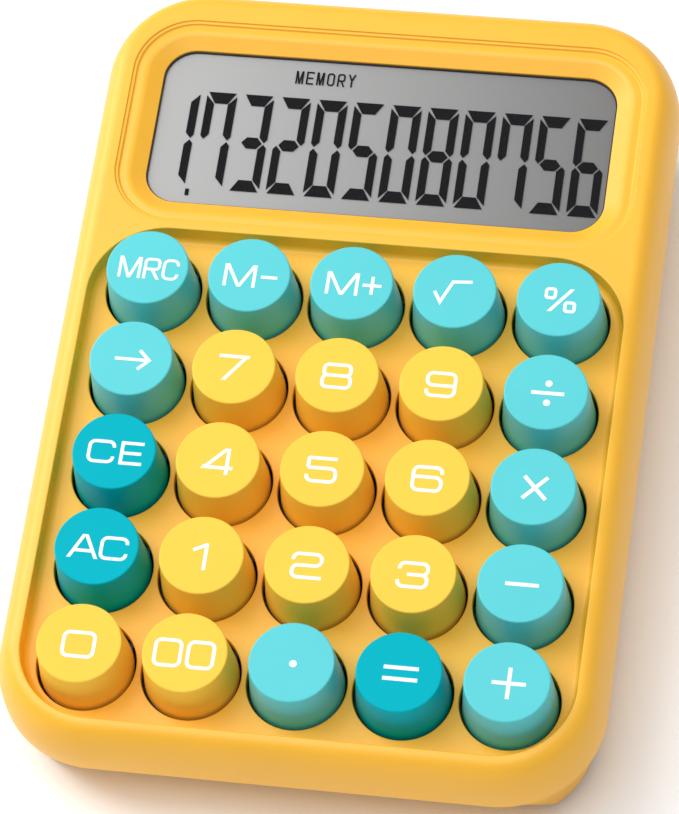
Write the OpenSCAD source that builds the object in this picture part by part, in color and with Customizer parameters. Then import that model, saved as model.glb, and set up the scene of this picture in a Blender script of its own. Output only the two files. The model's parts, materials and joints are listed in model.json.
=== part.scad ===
// Desk calculator with 25 round keys in a sunken keypad and a wide liquid crystal display.
// Everything above the feet is drawn in the deck frame: its origin is the middle of the centre key,
// on the top of the keypad deck, with Z square to the deck. tilted() leans it back onto the base.

/* [Case] */
// Half of the width over the widest line of the case
case_half_w = 54.9; // [54:0.1:56]
// From the centre key to the front of the case
case_front = 55; // [54.5:0.1:56]
// From the centre key to the back of the case
case_back = 103.6; // [102:0.1:106]
// Plan radius of the case's corners at the widest line
case_corner = 19; // [18:0.5:20]
// How far the rounded rim reaches out from its crest
roll_out = 4.7; // [4.4:0.1:5]
// How far the rounded rim drops from its crest to the widest line
roll_drop = 9.5; // [9:0.1:10]
// Height of the rim's crest over the keypad deck
rim_h = 3.75; // [3.5:0.05:4]
// Thickness of the case walls
wall = 2; // [1.8:0.1:2.2]
// Angle between the keypad deck and the table
lean = 4.5; // [3.5:0.5:5]
// Height of the centre key's deck over the table
deck_h = 25; // [24.5:0.5:27]
// Draft of the lower shell's sides and back
tuck = 8; // [6:0.5:9]
// Slope of the lower shell's front, from square to the deck
chin = 26; // [22:1:28]

/* [Keypad] */
// Distance between neighbouring keys
pitch = 19.05; // [19.05:0.05:19.3]
// Keys along each side of the pad
keys_n = 5; // [5:1:5]
// Radius of a cap's flat top
cap_top_r = 7.62; // [7.4:0.02:7.7]
// Height of a cap's top over the deck
cap_h = 9.09; // [8.8:0.01:9.4]
// Draft of a cap's side
cap_draft = 5; // [4:0.5:5.5]
// Radius of the hole for a cap
hole_r = 9.04; // [9:0.02:9.2]
// How far a key goes down
travel = 3; // [2.5:0.1:3]

/* [Display] */
// Half of the width of the clear window
window_half_w = 43.2; // [42.5:0.1:43.4]
// Front edge of the clear window
window_front = 57.05; // [56.8:0.05:57.5]
// Back edge of the clear window
window_back = 89.75; // [89:0.05:90]
// Corner radius of the clear window
window_corner = 6; // [5:0.5:7]

/* [Battery] */
// Radius of the AAA cell
cell_r = 5.2; // [5:0.05:5.25]
// Length of the AAA cell over its button
cell_l = 44.5; // [44:0.1:44.6]

/* [Hidden] */
$fn = 48;
skin = 0.15;            // gap round the clear window and the cell's cover
key_reach = (keys_n - 1) / 2;
steps = [for (i = [-key_reach : key_reach]) i];
recess_half = 50;       // keypad recess, half its side
recess_corner = 13.5;
seam_z = -8.5;          // where the two case shells meet
crest_n = 10;           // straight steps along the rolled rim
shell_inset = 1.2;      // how far the lower shell stands in from the upper one
foot_h = 1.5;
floor_t = 2;
deep = 60;              // reach of cutting tools

// Levels in the deck frame
board_z = -12;
board_t = 1.6;
shoulder_z = -4.9;      // top of a switch's square housing
split_z = -8.5;         // where a switch's two housings meet
turret_z = -0.6;        // top of a switch's round turret
turret_r = 5.5;
switch_wall = 1.2;
flange_z = -3.2;        // underside of the slider's flange
well_z = -10.8;         // inside floor of a switch
switch_half = 6.9;
leaf_y = 5.2;           // contact leaves, from the switch's middle
peg_r = 1.95;
pin_hole_r = 0.6;
cap_wall = 1.4;
cap_roof = 1.6;
skirt_z = -1.6;
boss_z = 2.7;
boss_r = 2.75;
stem_top = 6.6;
slider_r = 3.3;         // shaft of a slider, in the switch's turret
slider_top = 1.5;
flange_r = 4.6;
flange_h = 1.1;
pole_r = 1.5;
grip = 0.02;            // gap between a slider's cross and its socket

// Levels of the display stack in the deck frame
band_z = 3.15;          // sunken band round the window
slope_top = 3.0;        // how far the slope reaches out from the window at its top
window_z = 1.4;
flange_t = 1;
glass_t = 1.1;
front_glass_z = -1.3;   // top of the upper glass
glass_half_w = 44.9;
glass_back = 91.9;
ledge_front = 52.5;     // the upper glass carries the contacts on its front ledge
lower_glass_front = 56.4;
film_t = 0.3;
tray_t = 1.2;
display_board_z = -6.6;
ear_x = 49.2;
ear_ys = [61, 80];
case_screw_x = 47.6;
case_screw_at = [[case_screw_x, -38], [case_screw_x, 48.6], [40, 96]];
board_posts = [[-1.5, -1.5], [1.5, -1.5], [-1.5, 1.5], [1.5, 1.5], [-0.5, 0.5], [0.5, -0.5]];
post_r = 2.4;
lower_post_r = 2.9;
post_z = -14;           // where the case's upper and lower posts meet
seat_z = -16.2;         // seat of a case screw's head
post_gap = 0.2;
pilot_r = 0.95;
shank_r = 0.9;
head_r = 2;
board_half_w = 46.6;
board_front = -46.6;
board_back = 50;

// The battery bay in the base frame, from the bay's middle
bay_deck_y = 76;
bay_half_l = 24.8;
bay_half_w = 6;
bay_wall = 1.3;
bay_top = 16.2;
cover_t = 1.6;
cover_half_w = 28;
cover_front = 9;
grip_grooves = 5;       // grooves under a finger on the cover
groove_half = 9;
groove_w = 0.8;
groove_depth = 0.4;
rail = 1.4;
rail_t = 0.8;
cell_z = 9.1;
leaf_t = 0.3;
wire_r = 0.6;

// Body box in the base frame: the rolled rim is an ellipse, so its farthest point follows from lean
bulge = sqrt(pow(roll_out * cos(lean), 2) + pow(roll_drop * sin(lean), 2));
roll_z = rim_h - roll_drop;
far_back = (case_back - roll_out) * cos(lean) - roll_z * sin(lean) + bulge;
far_front = (-case_front + roll_out) * cos(lean) - roll_z * sin(lean) - bulge;
base_y = -(far_back + far_front) / 2;
bay_y = base_y + bay_deck_y * cos(lean) + 12 * sin(lean);
back_floor_z = (foot_h - deck_h - case_back * sin(lean)) / cos(lean);
back_floor_y = case_back - shell_inset - (seam_z - back_floor_z) * tan(tuck);
function to_base(p) = [p[0], base_y + p[1] * cos(lean) - p[2] * sin(lean),
    deck_h + p[1] * sin(lean) + p[2] * cos(lean)];

yellow = [1, 0.76, 0.2];
key_yellow = [1, 0.85, 0.3];
pale_teal = [0.45, 0.88, 0.9];
deep_teal = [0, 0.68, 0.76];

// ---- shared shapes ----

module tilted() {
    translate([0, base_y, deck_h]) rotate([lean, 0, 0]) children();
}

// A slab with rounded plan corners whose edge follows steps of [inset, height], lowest first
module slab(half_w, front, back, corner, edge) {
    low = edge[0][1];
    high = edge[len(edge) - 1][1];
    right = [for (e = edge) [half_w - e[0], e[1]]];
    left = [for (i = [len(edge) - 1 : -1 : 0]) [-half_w + edge[i][0], edge[i][1]]];
    end = [for (e = edge) [corner - e[0], e[1]]];
    quarter = concat([[0, low]], end, [[0, high]]);
    translate([0, back - corner, 0]) rotate([90, 0, 0])
        linear_extrude(back - front - 2 * corner) polygon(concat(right, left));
    for (side = [0, 1]) {
        y = side == 0 ? back - corner : front + corner;
        translate([0, y, 0]) rotate([0, 0, side * 180]) {
            translate([-half_w + corner, 0, 0]) rotate([90, 0, 90])
                linear_extrude(2 * (half_w - corner)) polygon(quarter);
            for (turn = [0, 1]) {
                translate([turn == 0 ? half_w - corner : -half_w + corner, 0, 0])
                    rotate([0, 0, turn * 90]) rotate_extrude(angle = 90) polygon(quarter);
            }
        }
    }
}

// A slab with upright sides
module plate(half_w, front, back, corner, low, high) {
    slab(half_w, front, back, corner, [[0, low], [0, high]]);
}

module disc(r, low, high) {
    translate([0, 0, low]) cylinder(r = r, h = high - low);
}

module block(half_x, half_y, low, high) {
    translate([-half_x, -half_y, low]) cube([2 * half_x, 2 * half_y, high - low]);
}

module at_keys() {
    for (x = steps) for (y = steps) translate([x * pitch, y * pitch, 0]) children();
}

module at_posts() {
    for (p = board_posts) translate([p[0] * pitch, p[1] * pitch, 0]) children();
}

module at_case_screws() {
    for (side = [-1, 1]) for (p = case_screw_at) translate([side * p[0], p[1], 0]) children();
}

module at_ears() {
    for (x = [-ear_x, ear_x]) for (y = ear_ys) translate([x, y, 0]) children();
}

// A tube along a path that never runs straight along the up direction
function unit(v) = v / norm(v);
function along(p, i) = unit(p[min(i + 1, len(p) - 1)] - p[max(i - 1, 0)]);
module tube(path, r, sides, up) {
    n = len(path);
    rings = [for (i = [0 : n - 1]) let (t = along(path, i), u = unit(cross(t, up)), v = cross(t, u))
        for (k = [0 : sides - 1]) path[i] + r * (cos(360 * k / sides) * u + sin(360 * k / sides) * v)];
    skin_faces = [for (i = [0 : n - 2]) for (k = [0 : sides - 1]) let (m = (k + 1) % sides)
        for (half = [0, 1]) half == 0
            ? [(i + 1) * sides + m, i * sides + m, i * sides + k]
            : [(i + 1) * sides + k, (i + 1) * sides + m, i * sides + k]];
    first = [[for (k = [0 : sides - 1]) k]];
    last = [[for (k = [sides - 1 : -1 : 0]) (n - 1) * sides + k]];
    polyhedron(rings, concat(skin_faces, first, last));
}

// ---- case ----

rolled_edge = concat(
    [[0.6, seam_z], [0, seam_z + 0.8]],
    [for (i = [0 : crest_n]) let (a = 90 * i / crest_n)
        [roll_out * (1 - cos(a)), roll_z + roll_drop * sin(a)]]
);

module top_case() {
    color(yellow) tilted() difference() {
        union() {
            difference() {
                slab(case_half_w, -case_front, case_back, case_corner, rolled_edge);
                plate(recess_half, -recess_half, recess_half - 0.5, recess_corner, 0, deep);
                plate(case_half_w - wall, -case_front + wall, case_back - wall,
                      case_corner - wall, -deep, -wall);
                plate(case_half_w - 2 * wall, recess_half + 1, case_back - 2 * wall,
                      case_corner - 2 * wall, -deep, 0);
                plate(glass_half_w + 2, recess_half + 1, glass_back + 1.6, 1, -deep, 0);
            }
            at_posts() disc(post_r, board_z, -wall + 0.5);
            at_case_screws() disc(post_r, post_z, 0.5);
            at_ears() disc(post_r, display_board_z + 2, 0.5);
        }
        at_keys() disc(hole_r, -deep, deep);
        plate(window_half_w + slope_top + 2.7, window_front - slope_top - 2.8,
              window_back + slope_top + 2.6, window_corner + 5, band_z, deep);
        slab(window_half_w + slope_top, window_front - slope_top, window_back + slope_top,
             window_corner + slope_top, [[slope_top - skin, window_z], [0, band_z + 0.01]]);
        plate(window_half_w + skin, window_front - skin, window_back + skin,
              window_corner + skin, -deep, deep);
        at_posts() disc(pilot_r, board_z - 1, -wall - 1);
        at_case_screws() disc(pilot_r, post_z - 1, -2);
        at_ears() disc(pilot_r, -deep, -1);
    }
}

module tub(extra, low) {
    difference() {
        slab(case_half_w - extra, -case_front + extra, case_back - extra, case_corner - extra,
             [[(seam_z - low) * tan(tuck), low], [0, seam_z]]);
        translate([0, -case_front + extra, seam_z]) rotate([chin, 0, 0]) translate([0, -deep, 0])
            cube([4 * deep, 2 * deep, 2 * deep], center = true);
    }
}

module below(z) {
    translate([-2 * deep, -2 * deep, z - deep]) cube([4 * deep, 4 * deep, deep]);
}

module bottom_case() {
    color(yellow) difference() {
        union() {
            difference() {
                tilted() tub(shell_inset, -35);
                below(foot_h);
                difference() {
                    tilted() tub(shell_inset + wall, -34);
                    below(foot_h + floor_t);
                }
            }
            difference() {
                tilted() at_case_screws() disc(lower_post_r, -deep, post_z - post_gap);
                below(foot_h + 0.5);
            }
            translate([0, bay_y, 0]) {
                block(bay_half_l + bay_wall, bay_half_w + bay_wall, foot_h + 1, bay_top);
                translate([-cover_half_w - rail - 2, -cover_front - 2, foot_h + 1])
                    cube([2 * (cover_half_w + rail + 2), cover_front + cover_back + 1, cover_t + 1.4]);
            }
        }
        translate([0, bay_y, 0]) {
            block(bay_half_l, bay_half_w, -1, bay_top - bay_wall);
            translate([-cover_half_w - skin, -cover_front - skin, 0])
                cube([2 * (cover_half_w + skin), deep, foot_h + cover_t + skin]);
            translate([-cover_half_w - rail - skin, -cover_front - skin, foot_h + rail_t - skin])
                cube([2 * (cover_half_w + rail + skin), deep, rail_t + 2 * skin]);
            for (x = [-bay_half_l, bay_half_l])
                translate([x, 0, cell_z + 4]) rotate([0, 90, 0]) cylinder(r = 0.9, h = 6, center = true);
        }
        tilted() at_case_screws() {
            disc(shank_r + 0.3, -deep, 0);
            disc(head_r + 0.3, -deep, seat_z);
        }
    }
}

// The cover ends level with the back edge of the lower shell's floor
cover_back = to_base([0, back_floor_y, back_floor_z])[1] - bay_y - 0.3;
module battery_cover() {
    color(yellow) translate([0, bay_y, 0]) difference() {
        union() {
            translate([-cover_half_w, -cover_front, foot_h])
                cube([2 * cover_half_w, cover_front + cover_back, cover_t]);
            translate([-cover_half_w - rail, -cover_front, foot_h + rail_t])
                cube([2 * (cover_half_w + rail), cover_front + cover_back - 2, rail_t]);
        }
        for (i = [0 : grip_grooves - 1])
            translate([-groove_half, cover_back - 3 - i * 2 * groove_w, foot_h - 0.1])
                cube([2 * groove_half, groove_w, groove_depth + 0.1]);
    }
}

foot_x = 40;
foot_ys = [-62, 66];
foot_r = 4;
foot_edge = 0.4;
module rubber_feet() {
    color([0.12, 0.12, 0.12]) for (x = [-foot_x, foot_x]) for (y = foot_ys)
        translate([x, y, 0]) rotate_extrude()
            polygon([[0, 0], [foot_r - foot_edge, 0], [foot_r, foot_edge], [foot_r, foot_h], [0, foot_h]]);
}

// ---- display ----

module display_window() {
    color([0.9, 0.95, 1, 0.3]) tilted() {
        plate(window_half_w, window_front, window_back, window_corner, 0, window_z);
        plate(window_half_w + 2, window_front - 2, window_back + 2, window_corner + 1, -flange_t, 0);
    }
}

module pane(front, top) {
    translate([-glass_half_w, front, top - glass_t])
        cube([2 * glass_half_w, glass_back - front, glass_t]);
}

module lcd_front_glass() {
    color([0.8, 0.86, 0.86, 0.5]) tilted() pane(ledge_front, front_glass_z);
}

module lcd_rear_glass() {
    color([0.7, 0.74, 0.74, 0.5]) tilted() pane(lower_glass_front, front_glass_z - glass_t);
}

film_z = front_glass_z - 2 * glass_t;
module lcd_reflector() {
    color([0.66, 0.66, 0.66]) tilted() translate([-glass_half_w, lower_glass_front, film_z - film_t])
        cube([2 * glass_half_w, glass_back - lower_glass_front, film_t]);
}

module lcd_holder() {
    slot_back = lower_glass_front - 0.5;
    mid = (ledge_front + glass_back) / 2;
    half = (glass_back - ledge_front) / 2;
    color([0.85, 0.85, 0.82]) tilted() difference() {
        union() {
            translate([0, mid, 0])
                block(glass_half_w + 1.6, half + 1.2, display_board_z, -flange_t - 0.1);
            at_ears() block(3, 2.6, display_board_z, display_board_z + 2);
        }
        translate([0, mid, 0]) block(glass_half_w + 0.1, half + 0.1, film_z - film_t, deep);
        translate([0, mid, 0]) block(glass_half_w - 1.5, half - 1.5, -deep, film_z - film_t - tray_t);
        translate([-42.2, ledge_front + 0.1, -deep]) cube([84.4, slot_back - ledge_front - 0.1, deep]);
        at_ears() disc(shank_r + 0.3, -deep, deep);
    }
}

module zebra_strip() {
    color([0.2, 0.2, 0.22]) tilted() translate([-42, ledge_front + 0.3, display_board_z])
        cube([84, 2.8, front_glass_z - glass_t - display_board_z]);
}

module display_board() {
    mid = (ledge_front + glass_back) / 2;
    half = (glass_back - ledge_front) / 2 + 1.2;
    color([0.1, 0.4, 0.2]) tilted() difference() {
        union() {
            translate([0, mid, 0])
                block(glass_half_w + 1.6, half, display_board_z - board_t, display_board_z);
            at_ears() block(3, 2.6, display_board_z - board_t, display_board_z);
        }
        at_ears() disc(shank_r + 0.3, -deep, deep);
    }
}

// A flat flexible cable: it leaves the display board's underside and lands on the main board
module ribbon_cable() {
    high = display_board_z - board_t;
    low = board_z;
    t = 0.3;
    color([0.85, 0.8, 0.65]) tilted() translate([-14, 0, 0]) rotate([90, 0, 90]) linear_extrude(28)
        polygon([[46, low], [50.3, low], [52.6, high - t], [57, high - t], [57, high], [52.3, high],
                 [50, low + t], [46, low + t]]);
}

// ---- boards and what is on them ----

module main_board() {
    color([0.1, 0.4, 0.2]) tilted() difference() {
        translate([-board_half_w, board_front, board_z - board_t])
            cube([2 * board_half_w, board_back - board_front, board_t]);
        at_keys() {
            disc(peg_r + 0.05, -deep, deep);
            for (y = [-leaf_y, leaf_y]) translate([0, y, 0]) disc(pin_hole_r, -deep, deep);
        }
        at_posts() disc(shank_r + 0.3, -deep, deep);
        at_case_screws() disc(post_r + 0.4, -deep, deep);
    }
}

under = board_z - board_t;
module controller_chip() {
    color([0.12, 0.12, 0.13]) tilted() translate([pitch / 2, pitch / 2, 0]) {
        block(4, 4, under - 1.6, under - 0.2);
        for (turn = [0 : 3]) rotate([0, 0, 90 * turn]) for (i = [-4 : 4])
            translate([i * 0.8 - 0.15, 3.9, under - 1]) {
                cube([0.3, 1, 0.15]);
                translate([0, 0.85, 0]) cube([0.3, 0.15, 1]);
                translate([0, 0.85, 0.85]) cube([0.3, 0.7, 0.15]);
            }
    }
}

module capacitors() {
    color([0.15, 0.2, 0.45]) tilted() for (x = [-1, 1])
        translate([x * pitch * 1.5, pitch / 2, 0]) disc(2, under - 2.6, under);
}

module crystal() {
    color("silver") tilted() translate([pitch * 0.5, -pitch * 1.5, under - 2]) {
        for (x = [-2.5, 2.5]) translate([x, 0, 0]) cylinder(r = 1.4, h = 2);
        translate([-2.5, -1.4, 0]) cube([5, 2.8, 2]);
    }
}

connector_y = 47;
module battery_connector() {
    color([0.9, 0.88, 0.82]) tilted() translate([26, connector_y, under - 2.5]) difference() {
        translate([-3.5, -2, 0]) cube([7, 4, 2.5]);
        for (x = [-1.5, 1.5]) translate([x, 0, 1.25]) rotate([-90, 0, 0])
            cylinder(r = 0.75, h = 5);
    }
}

module switch_lower_housings() {
    color([0.16, 0.16, 0.17]) tilted() at_keys() {
        difference() {
            block(switch_half, switch_half, board_z, split_z);
            block(switch_half - switch_wall, switch_half - switch_wall, well_z, deep);
            for (y = [-leaf_y, leaf_y]) translate([0, y, 0]) block(0.5, 0.25, -deep, deep);
        }
        disc(peg_r, board_z - 3, board_z + 0.1);
    }
}

module switch_upper_housings() {
    color([0.2, 0.45, 0.8]) tilted() at_keys() difference() {
        union() {
            block(switch_half, switch_half, split_z, shoulder_z);
            disc(turret_r, shoulder_z - 0.5, turret_z);
        }
        block(switch_half - switch_wall, switch_half - switch_wall, split_z - 1, shoulder_z - switch_wall);
        disc(turret_r - 0.6, split_z, turret_z - 1.4);
        disc(slider_r + 0.2, -deep, deep);
    }
}

coil_turns = 4;
coil_r = 2.2;
coil_wire = 0.18;
ring_per_turn = 6;
module switch_springs() {
    low = well_z + coil_wire + 0.05;
    high = flange_z - coil_wire - 0.05;
    n = coil_turns * ring_per_turn;
    path = [for (i = [0 : n]) [coil_r * cos(360 * i / ring_per_turn), coil_r * sin(360 * i / ring_per_turn),
            low + (high - low) * i / n]];
    color("silver") tilted() at_keys() tube(path, coil_wire, 4, [0, 0, 1]);
}

module switch_contacts() {
    color([0.85, 0.7, 0.35]) tilted() at_keys() for (y = [-leaf_y, leaf_y]) translate([0, y, 0]) {
        block(1.5, 0.15, well_z, shoulder_z - 1.5);
        block(0.35, 0.15, board_z - 3.2, well_z + 0.1);
    }
}

// ---- battery ----

module aaa_cell() {
    color([0.2, 0.2, 0.22]) translate([bay_half_l - leaf_t - cell_l, bay_y, cell_z]) rotate([0, 90, 0]) {
        cylinder(r = cell_r, h = cell_l - 1);
        cylinder(r = 1.8, h = cell_l);
    }
}

module battery_spring() {
    turns = 3;
    low = -bay_half_l + leaf_t;
    high = bay_half_l - leaf_t - cell_l;
    rings = 8;
    n = turns * rings;
    wire = 0.35;
    path = [for (i = [0 : n]) let (r = 3.6 - 1.6 * i / n)
        [low + 0.6 * wire + (high - low - 2 * wire) * i / n,
         r * cos(360 * i / rings), r * sin(360 * i / rings)]];
    color("silver") translate([0, bay_y, cell_z]) {
        tube(path, wire, 6, [1, 0, 0]);
        translate([-bay_half_l, -4.5, -4.5]) cube([leaf_t, 9, 9.2]);
    }
}

module battery_plate() {
    color("silver") translate([bay_half_l - leaf_t, bay_y - 4.5, cell_z - 4.5]) cube([leaf_t, 9, 9.2]);
}

// A lead leaves the end of the bay, turns forward, dips and rises into the connector
function lead_path(side, slot, turns) = concat(
    [
        [side * (bay_half_l + 0.2), bay_y, cell_z + 4],
        [side * (bay_half_l + 3), bay_y, cell_z + 4],
        [side * (bay_half_l + 4.5), bay_y - 2, cell_z + 3.5],
        [side * (bay_half_l + 4.5), bay_y - 10, cell_z + 1]
    ],
    [for (p = turns) [p[0], bay_y + p[1], cell_z + p[2]]],
    [for (p = [[6, -1.2], [3.6, -0.1], [0.4, 0]]) to_base([slot, connector_y + p[0], under - 1.25 + p[1]])]
);

module battery_lead_red() {
    color("red") tube(lead_path(1, 27.5, [[29, -15, 0.5]]), wire_r, 8, [0, 0, 1]);
}

module battery_lead_black() {
    turns = [[-24, -14, 0], [-10, -17, 0], [12, -18, 0.5], [22, -18.6, 1.5]];
    color([0.1, 0.1, 0.1]) tube(lead_path(-1, 24.5, turns), wire_r, 8, [0, 0, 1]);
}

// ---- screws: a flat head below, a cross slot in it and a shank that goes up ----

module screw(head_z, head_t, tip_z) {
    difference() {
        union() {
            disc(head_r, head_z - head_t, head_z);
            disc(shank_r, head_z - 0.1, tip_z);
        }
        for (turn = [0, 90]) rotate([0, 0, turn]) block(1.1, 0.2, head_z - head_t - 1, head_z - head_t + 0.7);
    }
}

module case_screws() {
    color("silver") tilted() at_case_screws() screw(seat_z, 1.4, -8);
}

module board_screws() {
    color("silver") tilted() at_posts() screw(under, 1.2, -6);
}

module display_screws() {
    color("silver") tilted() at_ears() screw(display_board_z - board_t, 1.2, -2);
}

// ---- keys ----

// A key is its cap and the slider of its switch, which the cap is pressed on
module key(column, row, shade) {
    grow = tan(cap_draft);
    inner = cap_top_r - cap_wall;
    roof_z = cap_h - cap_roof;
    tilted() translate([column * pitch, row * pitch, 0]) {
        color(shade) difference() {
            union() {
                difference() {
                    rotate_extrude() polygon([
                        [0, skirt_z], [cap_top_r + (cap_h - skirt_z) * grow, skirt_z],
                        [cap_top_r + 0.3 * grow, cap_h - 0.3], [cap_top_r - 0.3, cap_h], [0, cap_h]]);
                    rotate_extrude() polygon([
                        [0, skirt_z - 1], [inner + (cap_h - skirt_z + 1) * grow, skirt_z - 1],
                        [inner + cap_roof * grow, roof_z], [0, roof_z]]);
                }
                disc(boss_r, boss_z, roof_z + 0.1);
            }
            cross_bar(boss_z - 1, stem_top + 0.1, grip);
        }
        color([0.75, 0.3, 0.2]) {
            disc(slider_r, flange_z, slider_top);
            disc(flange_r, flange_z, flange_z + flange_h);
            disc(pole_r, well_z + travel + 0.2, flange_z);
            cross_bar(slider_top - 0.1, stem_top, 0);
        }
    }
}

// The slider's cross, or the socket for it when it is a little larger
module cross_bar(low, high, extra) {
    block(2.05 + extra, 0.6 + extra, low, high);
    block(0.65 + extra, 2.05 + extra, low, high);
}

top_case();
bottom_case();
battery_cover();
rubber_feet();
display_window();
lcd_front_glass();
lcd_rear_glass();
lcd_reflector();
lcd_holder();
zebra_strip();
display_board();
ribbon_cable();
main_board();
controller_chip();
capacitors();
crystal();
battery_connector();
switch_lower_housings();
switch_upper_housings();
switch_springs();
switch_contacts();
aaa_cell();
battery_spring();
battery_plate();
battery_lead_red();
battery_lead_black();
case_screws();
board_screws();
display_screws();
key(-2, 2, pale_teal);  // key_memory_recall
key(-1, 2, pale_teal);  // key_memory_minus
key(0, 2, pale_teal);  // key_memory_plus
key(1, 2, pale_teal);  // key_root
key(2, 2, pale_teal);  // key_percent
key(-2, 1, pale_teal);  // key_back
key(-1, 1, key_yellow);  // key_7
key(0, 1, key_yellow);  // key_8
key(1, 1, key_yellow);  // key_9
key(2, 1, pale_teal);  // key_divide
key(-2, 0, deep_teal);  // key_clear_entry
key(-1, 0, key_yellow);  // key_4
key(0, 0, key_yellow);  // key_5
key(1, 0, key_yellow);  // key_6
key(2, 0, pale_teal);  // key_times
key(-2, -1, deep_teal);  // key_all_clear
key(-1, -1, key_yellow);  // key_1
key(0, -1, key_yellow);  // key_2
key(1, -1, key_yellow);  // key_3
key(2, -1, pale_teal);  // key_minus
key(-2, -2, key_yellow);  // key_0
key(-1, -2, key_yellow);  // key_00
key(0, -2, pale_teal);  // key_point
key(1, -2, deep_teal);  // key_equals
key(2, -2, pale_teal);  // key_plus
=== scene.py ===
"""The finish of a desk calculator: case, keys with moulded legends, display and the works inside.

Sizes are in millimetres in the deck frame, whose origin is the middle of the centre key on the
keypad deck and whose Z is square to the deck. DeckFrame turns them into metres in the part's frame.
"""

import json
import logging
import math
from dataclasses import astuple, dataclass
from enum import Enum
from typing import Iterable, Optional, Sequence

import bmesh
import bpy
import numpy as np
from mathutils import Euler, Matrix, Vector
from mathutils.geometry import delaunay_2d_cdt


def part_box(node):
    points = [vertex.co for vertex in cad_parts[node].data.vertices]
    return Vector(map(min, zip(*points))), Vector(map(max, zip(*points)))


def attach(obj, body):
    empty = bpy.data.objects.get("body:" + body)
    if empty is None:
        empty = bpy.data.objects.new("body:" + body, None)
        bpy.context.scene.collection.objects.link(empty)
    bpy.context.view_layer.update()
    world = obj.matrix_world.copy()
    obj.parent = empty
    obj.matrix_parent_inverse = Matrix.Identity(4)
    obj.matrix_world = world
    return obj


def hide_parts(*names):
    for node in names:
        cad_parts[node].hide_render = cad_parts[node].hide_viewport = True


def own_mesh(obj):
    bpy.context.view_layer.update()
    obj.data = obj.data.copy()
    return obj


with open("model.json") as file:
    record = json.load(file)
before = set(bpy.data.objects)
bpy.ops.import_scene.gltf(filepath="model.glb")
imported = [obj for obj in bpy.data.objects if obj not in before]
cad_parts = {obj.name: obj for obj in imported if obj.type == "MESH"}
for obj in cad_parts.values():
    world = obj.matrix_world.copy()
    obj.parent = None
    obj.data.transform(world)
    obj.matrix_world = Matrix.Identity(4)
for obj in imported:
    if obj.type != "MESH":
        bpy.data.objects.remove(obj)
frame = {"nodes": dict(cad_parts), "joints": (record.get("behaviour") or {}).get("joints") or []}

log = logging.getLogger("calculator")
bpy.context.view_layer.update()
MM = 0.001
PITCH = 19.05  # distance between keys
BODY = "case"
TRIANGLES_INSIDE, CUT_BY_EDGES = 1, 2  # what delaunay_2d_cdt returns
Point = tuple[float, float]
Path = list[Point]


# ---------------------------------------------------------------------------------------------
# Where things are
# ---------------------------------------------------------------------------------------------


@dataclass(frozen=True)
class DeckFrame:
    """The tilted frame that the case, the keys and the display are drawn in.

    Args:
        lean: angle between the keypad deck and the table, in radians.
        origin: the deck frame's origin in the part's frame, in metres.
    """

    lean: float
    origin: Vector

    @classmethod
    def from_part(cls, front: float, top: float, bottom: float) -> "DeckFrame":
        """Finds the frame from a key's joint axis and from the upper glass, a plain block.

        Args:
            front: front edge of the upper glass in the deck frame, in mm.
            top: height of its upper face in the deck frame, in mm.
            bottom: height of its lower face in the deck frame, in mm.

        Returns:
            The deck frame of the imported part.
        """
        axis = next(j["axis"] for j in frame["joints"] if j["name"] == "key_5_press")
        lean = math.atan2(axis[1], -axis[2])
        low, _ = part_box("lcd_front_glass")
        y = low[1] - MM * (front * math.cos(lean) - top * math.sin(lean))
        z = low[2] - MM * (front * math.sin(lean) + bottom * math.cos(lean))
        return cls(lean, Vector((0.0, y, z)))

    @property
    def matrix(self) -> Matrix:
        """From millimetres in the deck frame to metres in the part's frame."""
        turn = Matrix.Rotation(self.lean, 4, "X")
        return Matrix.Translation(self.origin) @ turn @ Matrix.Scale(MM, 4)

    @property
    def normal(self) -> Vector:
        """The deck's upward normal in the part's frame."""
        return Vector((0.0, -math.sin(self.lean), math.cos(self.lean)))

    def at(self, x: float, y: float, z: float) -> Vector:
        """A deck frame point, in metres in the part's frame."""
        return self.matrix @ Vector((x, y, z))


@dataclass(frozen=True)
class Outline:
    """A rectangle with rounded corners in plan, in mm.

    Args:
        half_w: half of its width.
        front: its front edge.
        back: its back edge.
        corner: its corner radius.
    """

    half_w: float
    front: float
    back: float
    corner: float

    def inset(self, d: float) -> "Outline":
        """The outline moved inwards by d, never with a sharp corner."""
        return Outline(self.half_w - d, self.front + d, self.back - d, max(self.corner - d, 0.05))

    def toward(self, other: "Outline", share: float) -> "Outline":
        """The outline that is a share of the way, from 0 to 1, to another one."""
        return Outline(*(a + (b - a) * share for a, b in zip(astuple(self), astuple(other))))

    def points(self, steps: int = 20) -> Path:
        """Its points, anticlockwise from above.

        Args:
            steps: straight steps in each corner.

        Returns:
            A closed path without a repeated end.
        """
        x, r = self.half_w - self.corner, self.corner
        corners = [(x, self.back - r, 0), (-x, self.back - r, 90),
                   (-x, self.front + r, 180), (x, self.front + r, 270)]
        path: Path = []
        for cx, cy, start in corners:
            for i in range(steps + 1):
                a = math.radians(start + 90 * i / steps)
                path.append((cx + r * math.cos(a), cy + r * math.sin(a)))
        return path


def circle(cx: float, cy: float, r: float, sides: int) -> Path:
    """The points of a circle, anticlockwise."""
    turn = 2 * math.pi / sides
    return [(cx + r * math.cos(turn * i), cy + r * math.sin(turn * i)) for i in range(sides)]


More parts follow.
